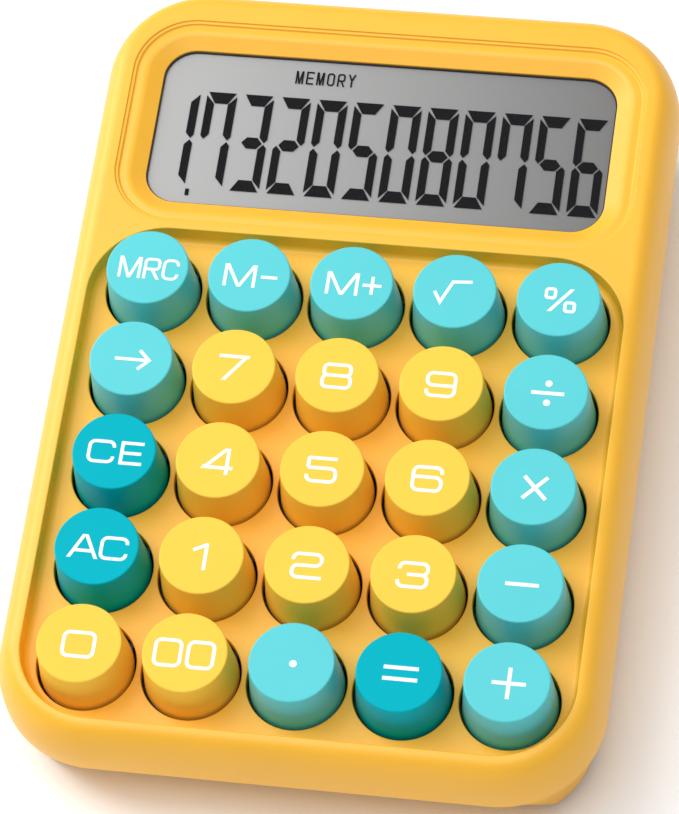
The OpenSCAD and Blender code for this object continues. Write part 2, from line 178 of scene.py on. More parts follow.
def rounded(points: Sequence[Point], radii: Sequence[float], closed: bool = False,
            steps: int = 6) -> Path:
    """A path whose corners are replaced with arcs.

    Args:
        points: the path's corners.
        radii: a radius for each corner; 0 leaves it sharp.
        closed: whether the last point joins the first.
        steps: straight steps in each arc.

    Returns:
        The points of the rounded path.
    """
    path: Path = []
    n = len(points)
    for i, here in enumerate(points):
        radius = radii[i]
        if radius <= 0 or (not closed and i in (0, n - 1)):
            path.append(tuple(here))
            continue
        p = Vector(here)
        back = (Vector(points[i - 1]) - p).normalized()
        ahead = (Vector(points[(i + 1) % n]) - p).normalized()
        half = math.acos(max(-1.0, min(1.0, back.dot(ahead)))) / 2
        reach = radius / math.tan(half)
        centre = p + (back + ahead).normalized() * (radius / math.sin(half))
        start = p + back * reach - centre
        end = p + ahead * reach - centre
        sweep = math.atan2(start.x * end.y - start.y * end.x, start.dot(end))
        for k in range(steps + 1):
            c, s = math.cos(sweep * k / steps), math.sin(sweep * k / steps)
            path.append((centre.x + start.x * c - start.y * s, centre.y + start.x * s + start.y * c))
    return path


# ---------------------------------------------------------------------------------------------
# Building meshes
# ---------------------------------------------------------------------------------------------


class Draft:
    """A mesh under construction, in deck frame millimetres."""

    def __init__(self) -> None:
        """Starts with no points and no faces."""
        self.points: list[tuple[float, float, float]] = []
        self.faces: list[tuple[int, ...]] = []

    def loop(self, path: Iterable[Point], z: float) -> list[int]:
        """Adds a level loop.

        Args:
            path: its points in plan.
            z: its height.

        Returns:
            The numbers of its points.
        """
        start = len(self.points)
        self.points.extend((x, y, z) for x, y in path)
        return list(range(start, len(self.points)))

    def bridge(self, lower: Sequence[int], upper: Sequence[int]) -> None:
        """Joins two closed loops of the same length with four-sided faces.

        Args:
            lower: numbers of the first loop's points.
            upper: numbers of the second loop's points.
        """
        for i in range(len(lower)):
            j = (i + 1) % len(lower)
            self.faces.append((lower[i], lower[j], upper[j], upper[i]))

    def stack(self, loops: Sequence[Sequence[int]]) -> None:
        """Joins each loop with the next."""
        for lower, upper in zip(loops, loops[1:]):
            self.bridge(lower, upper)

    def flat(self, outer: Sequence[int], holes: Sequence[Sequence[int]] = (), up: bool = True) -> None:
        """Fills the level area between an outer loop and the holes in it.

        Args:
            outer: the loop round the area.
            holes: the loops inside it.
            up: whether the faces look up.
        """
        numbers = [i for ring in (outer, *holes) for i in ring]
        flat_points = [Vector(self.points[i][:2]) for i in numbers]
        edges, start = [], 0
        for ring in (outer, *holes):
            n = len(ring)
            edges.extend((start + i, start + (i + 1) % n) for i in range(n))
            start += n
        result = delaunay_2d_cdt(flat_points, edges, [], CUT_BY_EDGES, 1e-6)
        rings = [np.array([self.points[i][:2] for i in ring]) for ring in holes]
        for face in result[2]:
            middle = sum((result[0][i] for i in face), Vector((0, 0))) / len(face)
            if any(inside(middle, ring) for ring in rings):
                continue
            corners = tuple(numbers[result[3][i][0]] for i in face)
            self.faces.append(corners if up else corners[::-1])

    def prism(self, loops: Sequence[Sequence[int]]) -> None:
        """Joins each loop with the next and closes the first and the last.

        Args:
            loops: the loops, from the lowest up.
        """
        self.stack(loops)
        self.flat(loops[0], up=False)
        self.flat(loops[-1])

    def lathe(self, profile: Path, sides: int, centre: Point = (0.0, 0.0)) -> None:
        """Turns a profile about an upright axis; ends at radius 0 close it.

        Args:
            profile: pairs of radius and height.
            sides: straight steps round the axis.
            centre: the axis in plan.
        """
        loops: list[list[int]] = []
        for r, z in profile:
            path = [centre] if r < 1e-6 else circle(*centre, r, sides)
            loops.append(self.loop(path, z))
        for a, b in zip(loops, loops[1:]):
            if len(a) == 1 and len(b) > 1:
                self.faces.extend((a[0], b[(i + 1) % sides], b[i]) for i in range(sides))
            elif len(b) == 1 and len(a) > 1:
                self.faces.extend((b[0], a[i], a[(i + 1) % sides]) for i in range(sides))
            elif len(a) > 1:
                self.bridge(a, b)

    def plates(self, polygons: Sequence[Path], low: float, high: float) -> None:
        """Adds the union of flat polygons as a plate between two heights.

        Args:
            polygons: the outlines, which may overlap.
            low: height of the plate's underside.
            high: height of its top.
        """
        points: list[Vector] = []
        shapes: list[list[int]] = []
        for polygon in polygons:
            area = sum(a[0] * b[1] - b[0] * a[1] for a, b in zip(polygon, polygon[1:] + polygon[:1]))
            ring = polygon if area > 0 else polygon[::-1]
            shapes.append(list(range(len(points), len(points) + len(ring))))
            points.extend(Vector(p) for p in ring)
        found, _, faces, _, _, sources = delaunay_2d_cdt(points, [], shapes, TRIANGLES_INSIDE, 1e-5)
        triangles = [tri for tri, source in zip(faces, sources) if source]
        bottom = self.loop([tuple(p) for p in found], low)
        top = self.loop([tuple(p) for p in found], high)
        sides: dict[tuple[int, int], None] = {}
        for tri in triangles:
            self.faces.append(tuple(top[i] for i in tri))
            self.faces.append(tuple(bottom[i] for i in reversed(tri)))
            sides.update(dict.fromkeys(zip(tri, tri[1:] + tri[:1])))
        for a, b in sides:
            if (b, a) not in sides:
                self.faces.append((bottom[a], bottom[b], top[b], top[a]))


def inside(point: Vector, ring: np.ndarray) -> bool:
    """Whether a point is inside a closed path.

    Args:
        point: the point.
        ring: the path's corners, one a row.

    Returns:
        True where a line from the point crosses the path an odd number of times.
    """
    a, b = ring, np.roll(ring, -1, axis=0)
    spans = (a[:, 1] > point.y) != (b[:, 1] > point.y)
    rise = np.where(b[:, 1] == a[:, 1], 1.0, b[:, 1] - a[:, 1])
    crossing = a[:, 0] + (point.y - a[:, 1]) / rise * (b[:, 0] - a[:, 0])
    return bool(np.count_nonzero(spans & (crossing > point.x)) % 2)


def ribbon(path: Path, width: float, closed: bool = False) -> list[Path]:
    """The four-sided pieces of a line of constant width with mitred corners.

    Args:
        path: the line's middle.
        width: the line's width.
        closed: whether the line's end joins its start.

    Returns:
        One polygon for each straight piece.
    """
    sharpest = 0.35
    points = [Vector(p) for p in path]
    n = len(points)
    left, right = [], []
    for i, p in enumerate(points):
        ahead = points[(i + 1) % n] - p if closed or i < n - 1 else p - points[i - 1]
        back = p - points[i - 1] if closed or i > 0 else ahead
        ahead, back = ahead.normalized(), back.normalized()
        mid = (Vector((-ahead.y, ahead.x)) + Vector((-back.y, back.x))).normalized()
        reach = width / 2 / max(mid.dot(Vector((-ahead.y, ahead.x))), sharpest)
        left.append(tuple(p + mid * reach))
        right.append(tuple(p - mid * reach))
    last = n if closed else n - 1
    return [[right[i], right[(i + 1) % n], left[(i + 1) % n], left[i]] for i in range(last)]


@dataclass(frozen=True)
class Seat:
    """Where a piece belongs on the part.

    Args:
        body: the body that it rides on.
        replaces: the part's nodes that it stands for.
        slot: the part's material slot that the finish belongs to; not used.
        smooth: edges that turn by less than this, in degrees, are shaded smooth.
    """

    body: str = BODY
    replaces: tuple[str, ...] = ()
    slot: Optional[str] = None
    smooth: float = 35.0


@dataclass
class Workshop:
    """Turns drafts into finished pieces that ride on the part's bodies.

    Args:
        deck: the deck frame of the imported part.
        made: how many pieces were made.
    """

    deck: DeckFrame
    made: int = 0

    def piece(self, name: str, draft: Draft, material: bpy.types.Material, seat: Seat = Seat(),
              merge: float = 1e-4) -> bpy.types.Object:
        """Makes a finished piece from a draft.

        Args:
            name: the piece's name.
            draft: its mesh in deck frame millimetres.
            material: its finish.
            seat: where it belongs.
            merge: points closer than this, in mm, become one.

        Returns:
            The finished object.
        """
        mesh = bpy.data.meshes.new(name)
        mesh.from_pydata(draft.points, [], draft.faces)
        shape = bmesh.new()
        shape.from_mesh(mesh)
        bmesh.ops.remove_doubles(shape, verts=shape.verts, dist=merge)
        bmesh.ops.recalc_face_normals(shape, faces=shape.faces)
        shape.to_mesh(mesh)
        shape.free()
        mesh.transform(self.deck.matrix)
        return self.finish(name, mesh, material, seat)

    def finish(self, name: str, mesh: bpy.types.Mesh, material: bpy.types.Material,
               seat: Seat) -> bpy.types.Object:
        """Shades a mesh by its angles and areas and puts it on its body.

        Args:
            name: the piece's name.
            mesh: its mesh in metres in the part's frame.
            material: its finish.
            seat: where it belongs.

        Returns:
            The finished object.
        """
        mesh.materials.clear()
        mesh.materials.append(material)
        rough = bpy.data.objects.new(name + "_draft", mesh)
        bpy.context.scene.collection.objects.link(rough)
        mesh.shade_smooth()
        mesh.set_sharp_from_angle(angle=math.radians(seat.smooth))
        rough.modifiers.new("weights", "WEIGHTED_NORMAL").keep_sharp = True
        obj = bpy.data.objects.new(name, plain_mesh(rough, name))
        bpy.data.objects.remove(rough)
        bpy.context.scene.collection.objects.link(obj)
        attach(obj, seat.body)
        if seat.replaces:
            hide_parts(*seat.replaces)
        self.made += 1
        log.info("piece %s on %s: %d faces", name, seat.body, len(obj.data.polygons))
        return obj

    def soften(self, node: str, material: bpy.types.Material, width: float, slot: str,
               body: str = BODY, segments: int = 3) -> bpy.types.Object:
        """Stands in for a CAD node with a copy of it whose sharp edges are rounded.

        Args:
            node: the CAD node.
            material: its finish.
            width: width of the rounding, in mm.
            slot: the part's material slot.
            body: the body that it rides on.
            segments: straight steps in the rounding.

        Returns:
            The finished object.
        """
        name = node + "_soft"
        mesh = frame["nodes"][node].data.copy()
        shape = bmesh.new()
        shape.from_mesh(mesh)
        bmesh.ops.remove_doubles(shape, verts=shape.verts, dist=1e-6)
        bmesh.ops.dissolve_limit(shape, angle_limit=math.radians(2), verts=shape.verts, edges=shape.edges)
        shape.to_mesh(mesh)
        shape.free()
        rough = bpy.data.objects.new(name + "_draft", mesh)
        bpy.context.scene.collection.objects.link(rough)
        bevel = rough.modifiers.new("bevel", "BEVEL")
        bevel.width = width * MM
        bevel.segments = segments
        bevel.limit_method = "ANGLE"
        bevel.angle_limit = math.radians(40)
        bevel.use_clamp_overlap = True
        softened = plain_mesh(rough, name)
        bpy.data.objects.remove(rough)
        return self.finish(name, softened, material, Seat(body, (node,), slot, 50.0))


def plain_mesh(obj: bpy.types.Object, name: str) -> bpy.types.Mesh:
    """The mesh of an object with its modifiers worked in.

    Args:
        obj: the object.
        name: the new mesh's name.

    Returns:
        A mesh of its own.
    """
    graph = bpy.context.evaluated_depsgraph_get()
    graph.update()
    mesh = bpy.data.meshes.new_from_object(obj.evaluated_get(graph))
    mesh.name = name
    return mesh


# ---------------------------------------------------------------------------------------------
# Finishes
# ---------------------------------------------------------------------------------------------


class Wire:
    """A number on its way through a shader: expressions on it add Math nodes."""

    def __init__(self, shader: "Shader", socket: bpy.types.NodeSocket) -> None:
        """Wraps an output socket of a shader."""
        self.shader = shader
        self.socket = socket

    def _math(self, operation: str, *values: object) -> "Wire":
        """Adds a Math node on the values and returns its result."""
        return self.shader.node("ShaderNodeMath", {"operation": operation}, values)

    def __add__(self, other: object) -> "Wire":
        """self + other."""
        return self._math("ADD", self, other)

    def __sub__(self, other: object) -> "Wire":
        """self - other."""
        return self._math("SUBTRACT", self, other)

    def __rsub__(self, other: object) -> "Wire":
        """other - self."""
        return self._math("SUBTRACT", other, self)

    def __mul__(self, other: object) -> "Wire":
        """self * other."""
        return self._math("MULTIPLY", self, other)

    def __truediv__(self, other: object) -> "Wire":
        """self / other."""
        return self._math("DIVIDE", self, other)

    def above(self, limit: float) -> "Wire":
        """1 where the number is over the limit, else 0."""
        return self._math("GREATER_THAN", self, limit)

    def clamped(self) -> "Wire":
        """The number kept between 0 and 1."""
        return self._math("MINIMUM", self._math("MAXIMUM", self, 0.0), 1.0)

    def wave(self) -> "Wire":
        """The sine of the number."""
        return self._math("SINE", self)


class Shader:
    """A material's nodes, added one call at a time."""

    def __init__(self, name: str) -> None:
        """Starts a material with a Principled surface.

        Args:
            name: the material's name.
        """
        self.material = bpy.data.materials.new(name)
        self.material.use_nodes = True
        self.tree = self.material.node_tree
        self.surface = self.tree.nodes["Principled BSDF"]

    def node(self, kind: str, settings: dict[str, object], sockets: object = (),
             output: int | str = 0) -> Wire:
        """Adds any node.

        Args:
            kind: the node's type.
            settings: its own settings, set first.
            sockets: values or wires, in order or by socket name.
            output: which output to return.

        Returns:
            The chosen output.
        """
        node = self.tree.nodes.new(kind)
        for key, value in settings.items():
            setattr(node, key, value)
        pairs = sockets.items() if isinstance(sockets, dict) else enumerate(sockets)
        for key, value in pairs:
            if isinstance(value, Wire):
                self.tree.links.new(value.socket, node.inputs[key])
            else:
                node.inputs[key].default_value = value
        return Wire(self, node.outputs[output])

    def place(self, scale: Sequence[float] = (1, 1, 1)) -> Wire:
        """The surface's own place in metres, scaled along each axis."""
        here = self.node("ShaderNodeTexCoord", {}, (), "Object")
        return self.node("ShaderNodeMapping", {}, {"Vector": here, "Scale": tuple(scale)})

    def noise(self, size_mm: float, detail: float = 2.0, place: Optional[Wire] = None) -> Wire:
        """Soft noise whose lumps are about size_mm across, from 0 to 1."""
        sockets = {"Vector": place or self.place(), "Scale": 1 / (size_mm * MM), "Detail": detail}
        return self.node("ShaderNodeTexNoise", {}, sockets)

    def parts(self, vector: Wire) -> list[Wire]:
        """The three numbers of a vector."""
        first = self.node("ShaderNodeSeparateXYZ", {}, (vector,))
        return [Wire(self, output) for output in first.socket.node.outputs]

    def blend(self, share: object, a: object, b: object) -> Wire:
        """A colour between a and b."""
        return self.node("ShaderNodeMix", {"data_type": "RGBA"}, {0: share, 6: a, 7: b}, 2)

    def bump(self, height: Wire, depth_mm: float, strength: float) -> None:
        """Gives the surface a fine relief.

        Args:
            height: the relief, from 0 to 1.
            depth_mm: its full depth, in mm.
            strength: how much of it shows.
        """
        sockets = {"Strength": strength, "Distance": depth_mm * MM, "Height": height}
        self.set(Normal=self.node("ShaderNodeBump", {}, sockets))

    def set(self, **values: object) -> None:
        """Sets the surface's sockets; underscores stand for spaces.

        Args:
            values: values or wires by socket name.
        """
        for key, value in values.items():
            socket = self.surface.inputs[key.replace("_", " ")]
            if isinstance(value, Wire):
                self.tree.links.new(value.socket, socket)
            else:
                socket.default_value = value


def shade(colour: Sequence[float], factor: float = 1.0) -> tuple[float, float, float, float]:
    """A colour made lighter or darker, with alpha 1."""
    return (*(min(1.0, c * factor) for c in colour), 1.0)


class Sheen(Enum):
    """How a moulded surface was textured in its tool; the value is its mean roughness."""

    FINE = 0.52
    SATIN = 0.4
    POLISHED = 0.2


@dataclass(frozen=True)
class Moulded:
    """Moulded plastic with a fine spark texture and a faint drift in its colour.

    Args:
        name: the material's name.
        colour: its linear colour.
        sheen: its tool texture.
        grain_mm: size of the texture's lumps.
        depth_mm: depth of the texture.
        shine: strength of the surface's reflection, 0.5 for ordinary plastic.
    """

    name: str
    colour: tuple[float, float, float]
    sheen: Sheen = Sheen.SATIN
    grain_mm: float = 0.22
    depth_mm: float = 0.004
    shine: float = 0.3

    def build(self) -> bpy.types.Material:
        """Makes the material.

        Returns:
            The finished material.
        """
        s = Shader(self.name)
        cloud = s.noise(14.0, 3.0)
        grain = s.noise(self.grain_mm, 1.5)
        tint = s.blend(cloud, shade(self.colour, 0.96), shade(self.colour, 1.03))
        rough = (grain - 0.5) * 0.16 + (cloud - 0.5) * 0.08 + self.sheen.value
        s.set(Base_Color=tint, Roughness=rough, IOR=1.5, Specular_IOR_Level=self.shine)
        if self.sheen is not Sheen.POLISHED:
            s.bump(grain, self.depth_mm, 0.6)
        return s.material


@dataclass(frozen=True)
class Legend:
    """White second-shot plastic of the key legends.

    Args:
        name: the material's name.
    """

    name: str = "legend_white"

    def build(self) -> bpy.types.Material:
        """Makes the material.

        Returns:
            The finished material.
        """
        s = Shader(self.name)
        s.set(Base_Color=s.blend(s.noise(3.0), shade((0.86, 0.84, 0.84)), shade((0.93, 0.92, 0.93))))
        s.set(Roughness=s.noise(0.3) * 0.12 + 0.36)
        return s.material


@dataclass(frozen=True)
class Rubber:
    """Matt moulded rubber.

    Args:
        name: the material's name.
        colour: its linear colour.
    """

    name: str
    colour: tuple[float, float, float]

    def build(self) -> bpy.types.Material:
        """Makes the material.

        Returns:
            The finished material.
        """
        s = Shader(self.name)
        grain = s.noise(0.35, 3.0)
        s.set(Base_Color=s.blend(grain, shade(self.colour, 0.8), shade(self.colour, 1.25)))
        s.set(Roughness=grain * 0.2 + 0.62)
        s.bump(grain, 0.02, 0.5)
        return s.material


@dataclass(frozen=True)
class Metal:
    """Stamped, drawn or plated metal with fine lines along one axis.

    Args:
        name: the material's name.
        colour: its linear colour.
        stretch: how the lines run, as a scale along each axis.
        rough: its mean roughness.
    """

    name: str
    colour: tuple[float, float, float]
    stretch: tuple[float, float, float] = (1.0, 12.0, 12.0)
    rough: float = 0.28

    def build(self) -> bpy.types.Material:
        """Makes the material.

        Returns:
            The finished material.
        """
        s = Shader(self.name)
        lines = s.noise(1.6, 3.0, s.place(self.stretch))
        s.set(Base_Color=s.blend(lines, shade(self.colour, 0.86), shade(self.colour, 1.08)))
        s.set(Metallic=1.0, Roughness=lines * 0.2 + (self.rough - 0.1))
        s.bump(lines, 0.004, 0.4)
        return s.material


@dataclass(frozen=True)
class ClearPane:
    """Clear sheet seen straight through, with a hard shine.

    Args:
        name: the material's name.
        colour: the faint haze's colour.
        alpha: how much of the haze shows.
        rough: its roughness.
    """

    name: str = "window_clear"
    colour: tuple[float, float, float] = (0.3, 0.32, 0.36)
    alpha: float = 0.006
    rough: float = 0.06

    def build(self) -> bpy.types.Material:
        """Makes the material.

        Returns:
            The finished material.
        """
        s = Shader(self.name)
        haze = s.noise(30.0, 1.0)
        s.set(Base_Color=s.blend(haze, shade(self.colour, 0.95), shade(self.colour)))
        s.set(Roughness=haze * 0.04 + self.rough, Alpha=self.alpha, IOR=1.49)
        s.material.surface_render_method = "BLENDED"
        return s.material


@dataclass(frozen=True)
class CircuitBoard:
    """Green solder mask over faint copper runs.

    Args:
        name: the material's name.
        run_mm: distance between copper runs.
    """

    name: str = "board_mask"
    run_mm: float = 1.27

    def build(self) -> bpy.types.Material:
        """Makes the material.

        Returns:
            The finished material.
        """
        s = Shader(self.name)
        x, y, _ = s.parts(s.place())
        turn = 2 * math.pi / (self.run_mm * MM)
        patch = s.noise(11.0, 0.0).above(0.5)
        runs = ((x * turn).wave() * patch + (y * turn).wave() * (1 - patch)).above(0.35)
        s.set(Base_Color=s.blend(runs, shade((0.012, 0.105, 0.035)), shade((0.03, 0.19, 0.07))))
        s.set(Roughness=s.noise(2.0) * 0.15 + 0.28)
        s.bump(runs, 0.03, 0.5)
        return s.material


@dataclass(frozen=True)
class Film:
    """The grey polariser and reflector behind the display, with painted light: lighter at the left and
    darker at the right, standing in for the light and shade across it.

    Args:
        name: the material's name.
        light: its painted lit grey at the left, standing in for light falling on it.
        dark: its painted shaded grey at the right, standing in for shade on it.
        half_w: half of the display's width, in mm.
    """

    name: str = "display_film_painted_light"
    light: float = 0.44
    dark: float = 0.17
    half_w: float = 45.0

    def build(self) -> bpy.types.Material:
        """Makes the material.

        Returns:
            The finished material.
        """
        s = Shader(self.name)
        x, _, _ = s.parts(s.place())
        # painted light: the grey runs from lighter at the left to darker at the right, standing in for the
        # light and shade across the display
        across = (x / (2 * self.half_w * MM) + 0.5).clamped()
        s.set(Base_Color=s.blend(across, shade((self.light,) * 3), shade((self.dark,) * 3)))
        s.set(Roughness=s.noise(0.12) * 0.2 + 0.45, Specular_IOR_Level=0.2)
        return s.material


@dataclass(frozen=True)
class Finishes:
    """Every finish of the calculator, made once."""

    case: bpy.types.Material
    key_yellow: bpy.types.Material
    key_pale_teal: bpy.types.Material
    key_deep_teal: bpy.types.Material
    legend: bpy.types.Material
    window: bpy.types.Material
    film: bpy.types.Material
    figure: bpy.types.Material
    foot: bpy.types.Material
    slider: bpy.types.Material
    switch_base: bpy.types.Material
    switch_top: bpy.types.Material
    steel: bpy.types.Material
    spring: bpy.types.Material
    brass: bpy.types.Material
    board: bpy.types.Material
    ivory: bpy.types.Material
    black: bpy.types.Material
    zebra: bpy.types.Material
    ribbon: bpy.types.Material
    blue_sleeve: bpy.types.Material
    lead_red: bpy.types.Material
    lead_black: bpy.types.Material

    @classmethod
    def make(cls) -> "Finishes":
        """Makes all the materials.

        Returns:
            The finishes by name.
        """
        fine, polished, upright = Sheen.FINE, Sheen.POLISHED, (12.0, 12.0, 1.0)
        recipes = {
            "case": Moulded("case_yellow", (0.93, 0.48, 0.032), Sheen.SATIN, 0.3, 0.006, 0.5),
            "key_yellow": Moulded("key_yellow", (0.93, 0.585, 0.07), shine=0.1),
            "key_pale_teal": Moulded("key_pale_teal", (0.1, 0.585, 0.63), shine=0.2),
            "key_deep_teal": Moulded("key_deep_teal", (0.0, 0.415, 0.5), shine=0.04),
            "legend": Legend(),
            "window": ClearPane(),
            "film": Film(),
            "figure": Moulded("lit_segment", (0.008, 0.008, 0.009), fine, shine=0.03),
            "foot": Rubber("foot_rubber", (0.03, 0.03, 0.032)),
            "slider": Moulded("slider_red", (0.55, 0.09, 0.05)),
            "switch_base": Moulded("switch_base", (0.03, 0.03, 0.034)),
            "switch_top": Moulded("switch_top", (0.06, 0.17, 0.42)),
            "steel": Metal("plated_steel", (0.62, 0.62, 0.64)),
            "spring": Metal("spring_wire", (0.66, 0.66, 0.68), upright, 0.22),
            "brass": Metal("contact_brass", (0.75, 0.55, 0.22), upright),
            "board": CircuitBoard(),
            "ivory": Moulded("ivory_nylon", (0.72, 0.70, 0.62)),
            "black": Moulded("black_resin", (0.02, 0.02, 0.022), fine),
            "zebra": Rubber("zebra_rubber", (0.09, 0.09, 0.1)),
            "ribbon": Moulded("ribbon_film", (0.62, 0.52, 0.30), polished),
            "blue_sleeve": Moulded("blue_sleeve", (0.03, 0.05, 0.22), polished),
            "lead_red": Moulded("lead_red", (0.5, 0.015, 0.012)),
            "lead_black": Moulded("lead_black", (0.018, 0.018, 0.02)),
        }
        return cls(**{name: recipe.build() for name, recipe in recipes.items()})


# ---------------------------------------------------------------------------------------------
# Case
# ---------------------------------------------------------------------------------------------


@dataclass(frozen=True)
class Post:
    """A screw post that hangs from the deck.

    Args:
        x: its middle.
        y: its middle.
        low: height of its foot.
    """

    x: float
    y: float
    low: float


@dataclass
class TopCase:
    """The upper shell: rolled rim, sunken keypad with round holes, sunken display frame.

    Args:
        outline: the shell's widest outline.
        recess: upper edge of the sunken keypad.
        crease: outer edge of the sunken display frame.
        opening: its inner edge, round the window.
        pocket: the hollow under the frame.
        rim_h: height of the rim over the deck.
        roll_out: width of the rolled rim.
        roll_drop: height of the rolled rim.
        seam_z: height of the seam with the lower shell.
        seam_step: width of the seam's shadow line.
        seam_lift: height of the seam's shadow line.
        wall: thickness of the walls and of the deck.
        recess_edge: rounding of the recess's upper edge.
        recess_foot: rounding of the recess's lower edge.
        hole_r: radius of a key hole.
        hole_edge: rounding of a key hole's edge.
        window_z: height of the window's face.
        post_r: radius of a screw post.
        pilot_r: radius of the hole in a screw post.
        board_z: height of the main board's face.
        post_z: height of the foot of the posts for the case screws.
        ear_z: height of the foot of the posts for the display board.
        screws: places of the case screws on the right half, the front one first.
        ears: places of the display screws on the right half.
        arc_steps: straight steps in the rolled rim.
        hole_sides: straight steps round a key hole.
        post_sides: straight steps round a screw post.
    """

    outline: Outline = Outline(54.9, -55.0, 103.6, 19.0)
    recess: Outline = Outline(49.9, -49.9, 49.6, 14.1)
    crease: Outline = Outline(49.0, 51.15, 95.3, 11.5)
    opening: Outline = Outline(43.35, 56.5, 89.9, 6.15)
    pocket: Outline = Outline(46.9, 51.0, 93.5, 1.0)
    rim_h: float = 3.75
    roll_out: float = 4.7
    roll_drop: float = 9.5
    seam_z: float = -8.5
    seam_step: float = 0.55
    seam_lift: float = 0.9
    wall: float = 2.0
    recess_edge: float = 0.25
    recess_foot: float = 1.1
    hole_r: float = 9.04
    hole_edge: float = 0.22
    window_z: float = 1.4
    post_r: float = 2.4
    pilot_r: float = 0.95
    board_z: float = -12.0
    post_z: float = -14.0
    ear_z: float = -4.6
    screws: tuple[Point, ...] = ((47.6, -38), (47.6, 48.6), (40, 96))
    ears: tuple[Point, ...] = ((49.2, 61), (49.2, 80))
    arc_steps: int = 22
    hole_sides: int = 96
    post_sides: int = 24

    def roll(self) -> Path:
        """The rim's section, from the inner wall at the seam up to the crest.

        Returns:
            Pairs of inset and height.
        """
        low = self.rim_h - self.roll_drop
        foot = rounded([(self.wall, -self.wall), (self.wall, self.seam_z), (self.seam_step, self.seam_z),
                        (0.0, self.seam_z + self.seam_lift), (0.0, low)], [0, 0.15, 0.3, 0.6, 0], steps=4)
        turn = math.pi / 2 / self.arc_steps
        return foot + [(self.roll_out * (1 - math.cos(turn * i)), low + self.roll_drop * math.sin(turn * i))
                       for i in range(1, self.arc_steps + 1)]

    def recess_wall(self) -> Path:
        """The keypad recess's section, from the rim down to the deck.

        Returns:
            Pairs of inset and height.
        """
        draft, past = 0.3, 3.0
        return rounded([(-past, self.rim_h), (0, self.rim_h), (draft, 0), (past, 0)],
                       [0, self.recess_edge, self.recess_foot, 0], steps=7)[1:-1]

    def bezel(self) -> Path:
        """The display frame's section as (inset, height): two small steps and a slope.

        Returns:
            Points from the rim down to the window's seat.
        """
        rim, reach = self.rim_h, self.crease.half_w - self.opening.half_w
        return rounded([(-1, rim), (0, rim), (0.14, rim - 0.36), (0.62, rim - 0.38), (0.82, rim - 0.84),
                        (2.6, rim - 0.66), (reach, self.window_z), (reach, 0)],
                       [0, 0.12, 0.1, 0.12, 0.3, 2.2, 0.15, 0], steps=7)[1:]

    def hole_profile(self) -> Path:
        """A key hole's section as (radius, height), from the deck down to its underside."""
        return rounded([(self.hole_r + 1, 0), (self.hole_r, 0), (self.hole_r, -self.wall)],
                       [0, self.hole_edge, 0], steps=4)[1:]

    def build(self, shop: Workshop, finish: Finishes) -> bpy.types.Object:
        """Makes the shell and stands it in for its CAD node.

        Args:
            shop: where pieces are finished.
            finish: the materials.

        Returns:
            The shell.
        """
        d = Draft()
        reach = self.crease.half_w - self.opening.half_w
        outer = [d.loop(self.outline.inset(i).points(), z) for i, z in self.roll()]
        recess = [d.loop(self.recess.inset(i).points(), z) for i, z in self.recess_wall()]
        bezel = [d.loop(self.crease.toward(self.opening, i / reach).points(), z) for i, z in self.bezel()]
        for loops in (outer, recess, bezel):
            d.stack(loops)
        d.flat(outer[-1], [recess[0], bezel[0]])

        tops, bottoms = [], []
        for place in [(x * PITCH, y * PITCH) for y in range(-2, 3) for x in range(-2, 3)]:
            rings = [d.loop(circle(*place, r, self.hole_sides), z) for r, z in self.hole_profile()]
            d.stack(rings)
            tops.append(rings[0])
            bottoms.append(rings[-1])
        d.flat(recess[-1], tops)

        low, high = (d.loop(self.pocket.points(4), z) for z in (-self.wall, 0))
        d.bridge(low, high)
        d.flat(high, [bezel[-1]], up=False)
        d.flat(outer[0], [*bottoms, low], up=False)
        self.posts(d)
        return shop.piece("top_shell", d, finish.case, Seat(replaces=("top_case",), slot="case_plastic"))

    def cut_post(self, post: Point, key: Point) -> Path:
        """The outline of a front screw post, cut open where it stands in a corner key's way.

        Args:
            post: the post's middle.
            key: the middle of the key's hole.

        Returns:
            A C-shaped polygon, open towards the key.
        """
        dx, dy = post[0] - key[0], post[1] - key[1]
        away, heading = math.hypot(dx, dy), math.atan2(dy, dx)
        steps = self.post_sides // 2
        arcs = []
        for r in (self.post_r, self.pilot_r):
            most = math.acos((self.hole_r ** 2 - away ** 2 - r ** 2) / (2 * away * r))
            turns = [heading + most * (k / steps - 1) for k in range(2 * steps + 1)]
            arcs.append([(post[0] + r * math.cos(t), post[1] + r * math.sin(t)) for t in turns])
        return arcs[0] + arcs[1][::-1]

    def posts(self, d: Draft) -> None:
        """Adds the screw posts under the deck, each a hair clear of it.

        Args:
            d: the shell's draft.
        """
        steps = [(-1.5, -1.5), (1.5, -1.5), (-1.5, 1.5), (1.5, 1.5), (-0.5, 0.5), (0.5, -0.5)]
        posts = [Post(x * PITCH, y * PITCH, self.board_z) for x, y in steps]
        roof, hair, cover = -self.wall, 0.02, 1.0
        for side in (-1, 1):
            (front_x, front_y), *rest = self.screws
            open_post = self.cut_post((side * front_x, front_y), (side * 2 * PITCH, -2 * PITCH))
            d.plates([open_post], self.post_z, roof - hair)
            posts.extend(Post(side * x, y, self.post_z) for x, y in rest)
            posts.extend(Post(side * x, y, self.ear_z) for x, y in self.ears)
        for post in posts:
            section = [(self.pilot_r, roof - cover), (self.pilot_r, post.low), (self.post_r, post.low),
                       (self.post_r, roof - hair), (0, roof - hair), (0, roof - cover),
                       (self.pilot_r, roof - cover)]
            d.lathe(section, self.post_sides, (post.x, post.y))


# ---------------------------------------------------------------------------------------------
# Keys
# ---------------------------------------------------------------------------------------------


class Shade(Enum):
    """The three colours of the caps; the value names the finish and the material slot."""

    YELLOW = "key_yellow"
    PALE_TEAL = "key_pale_teal"
    DEEP_TEAL = "key_deep_teal"


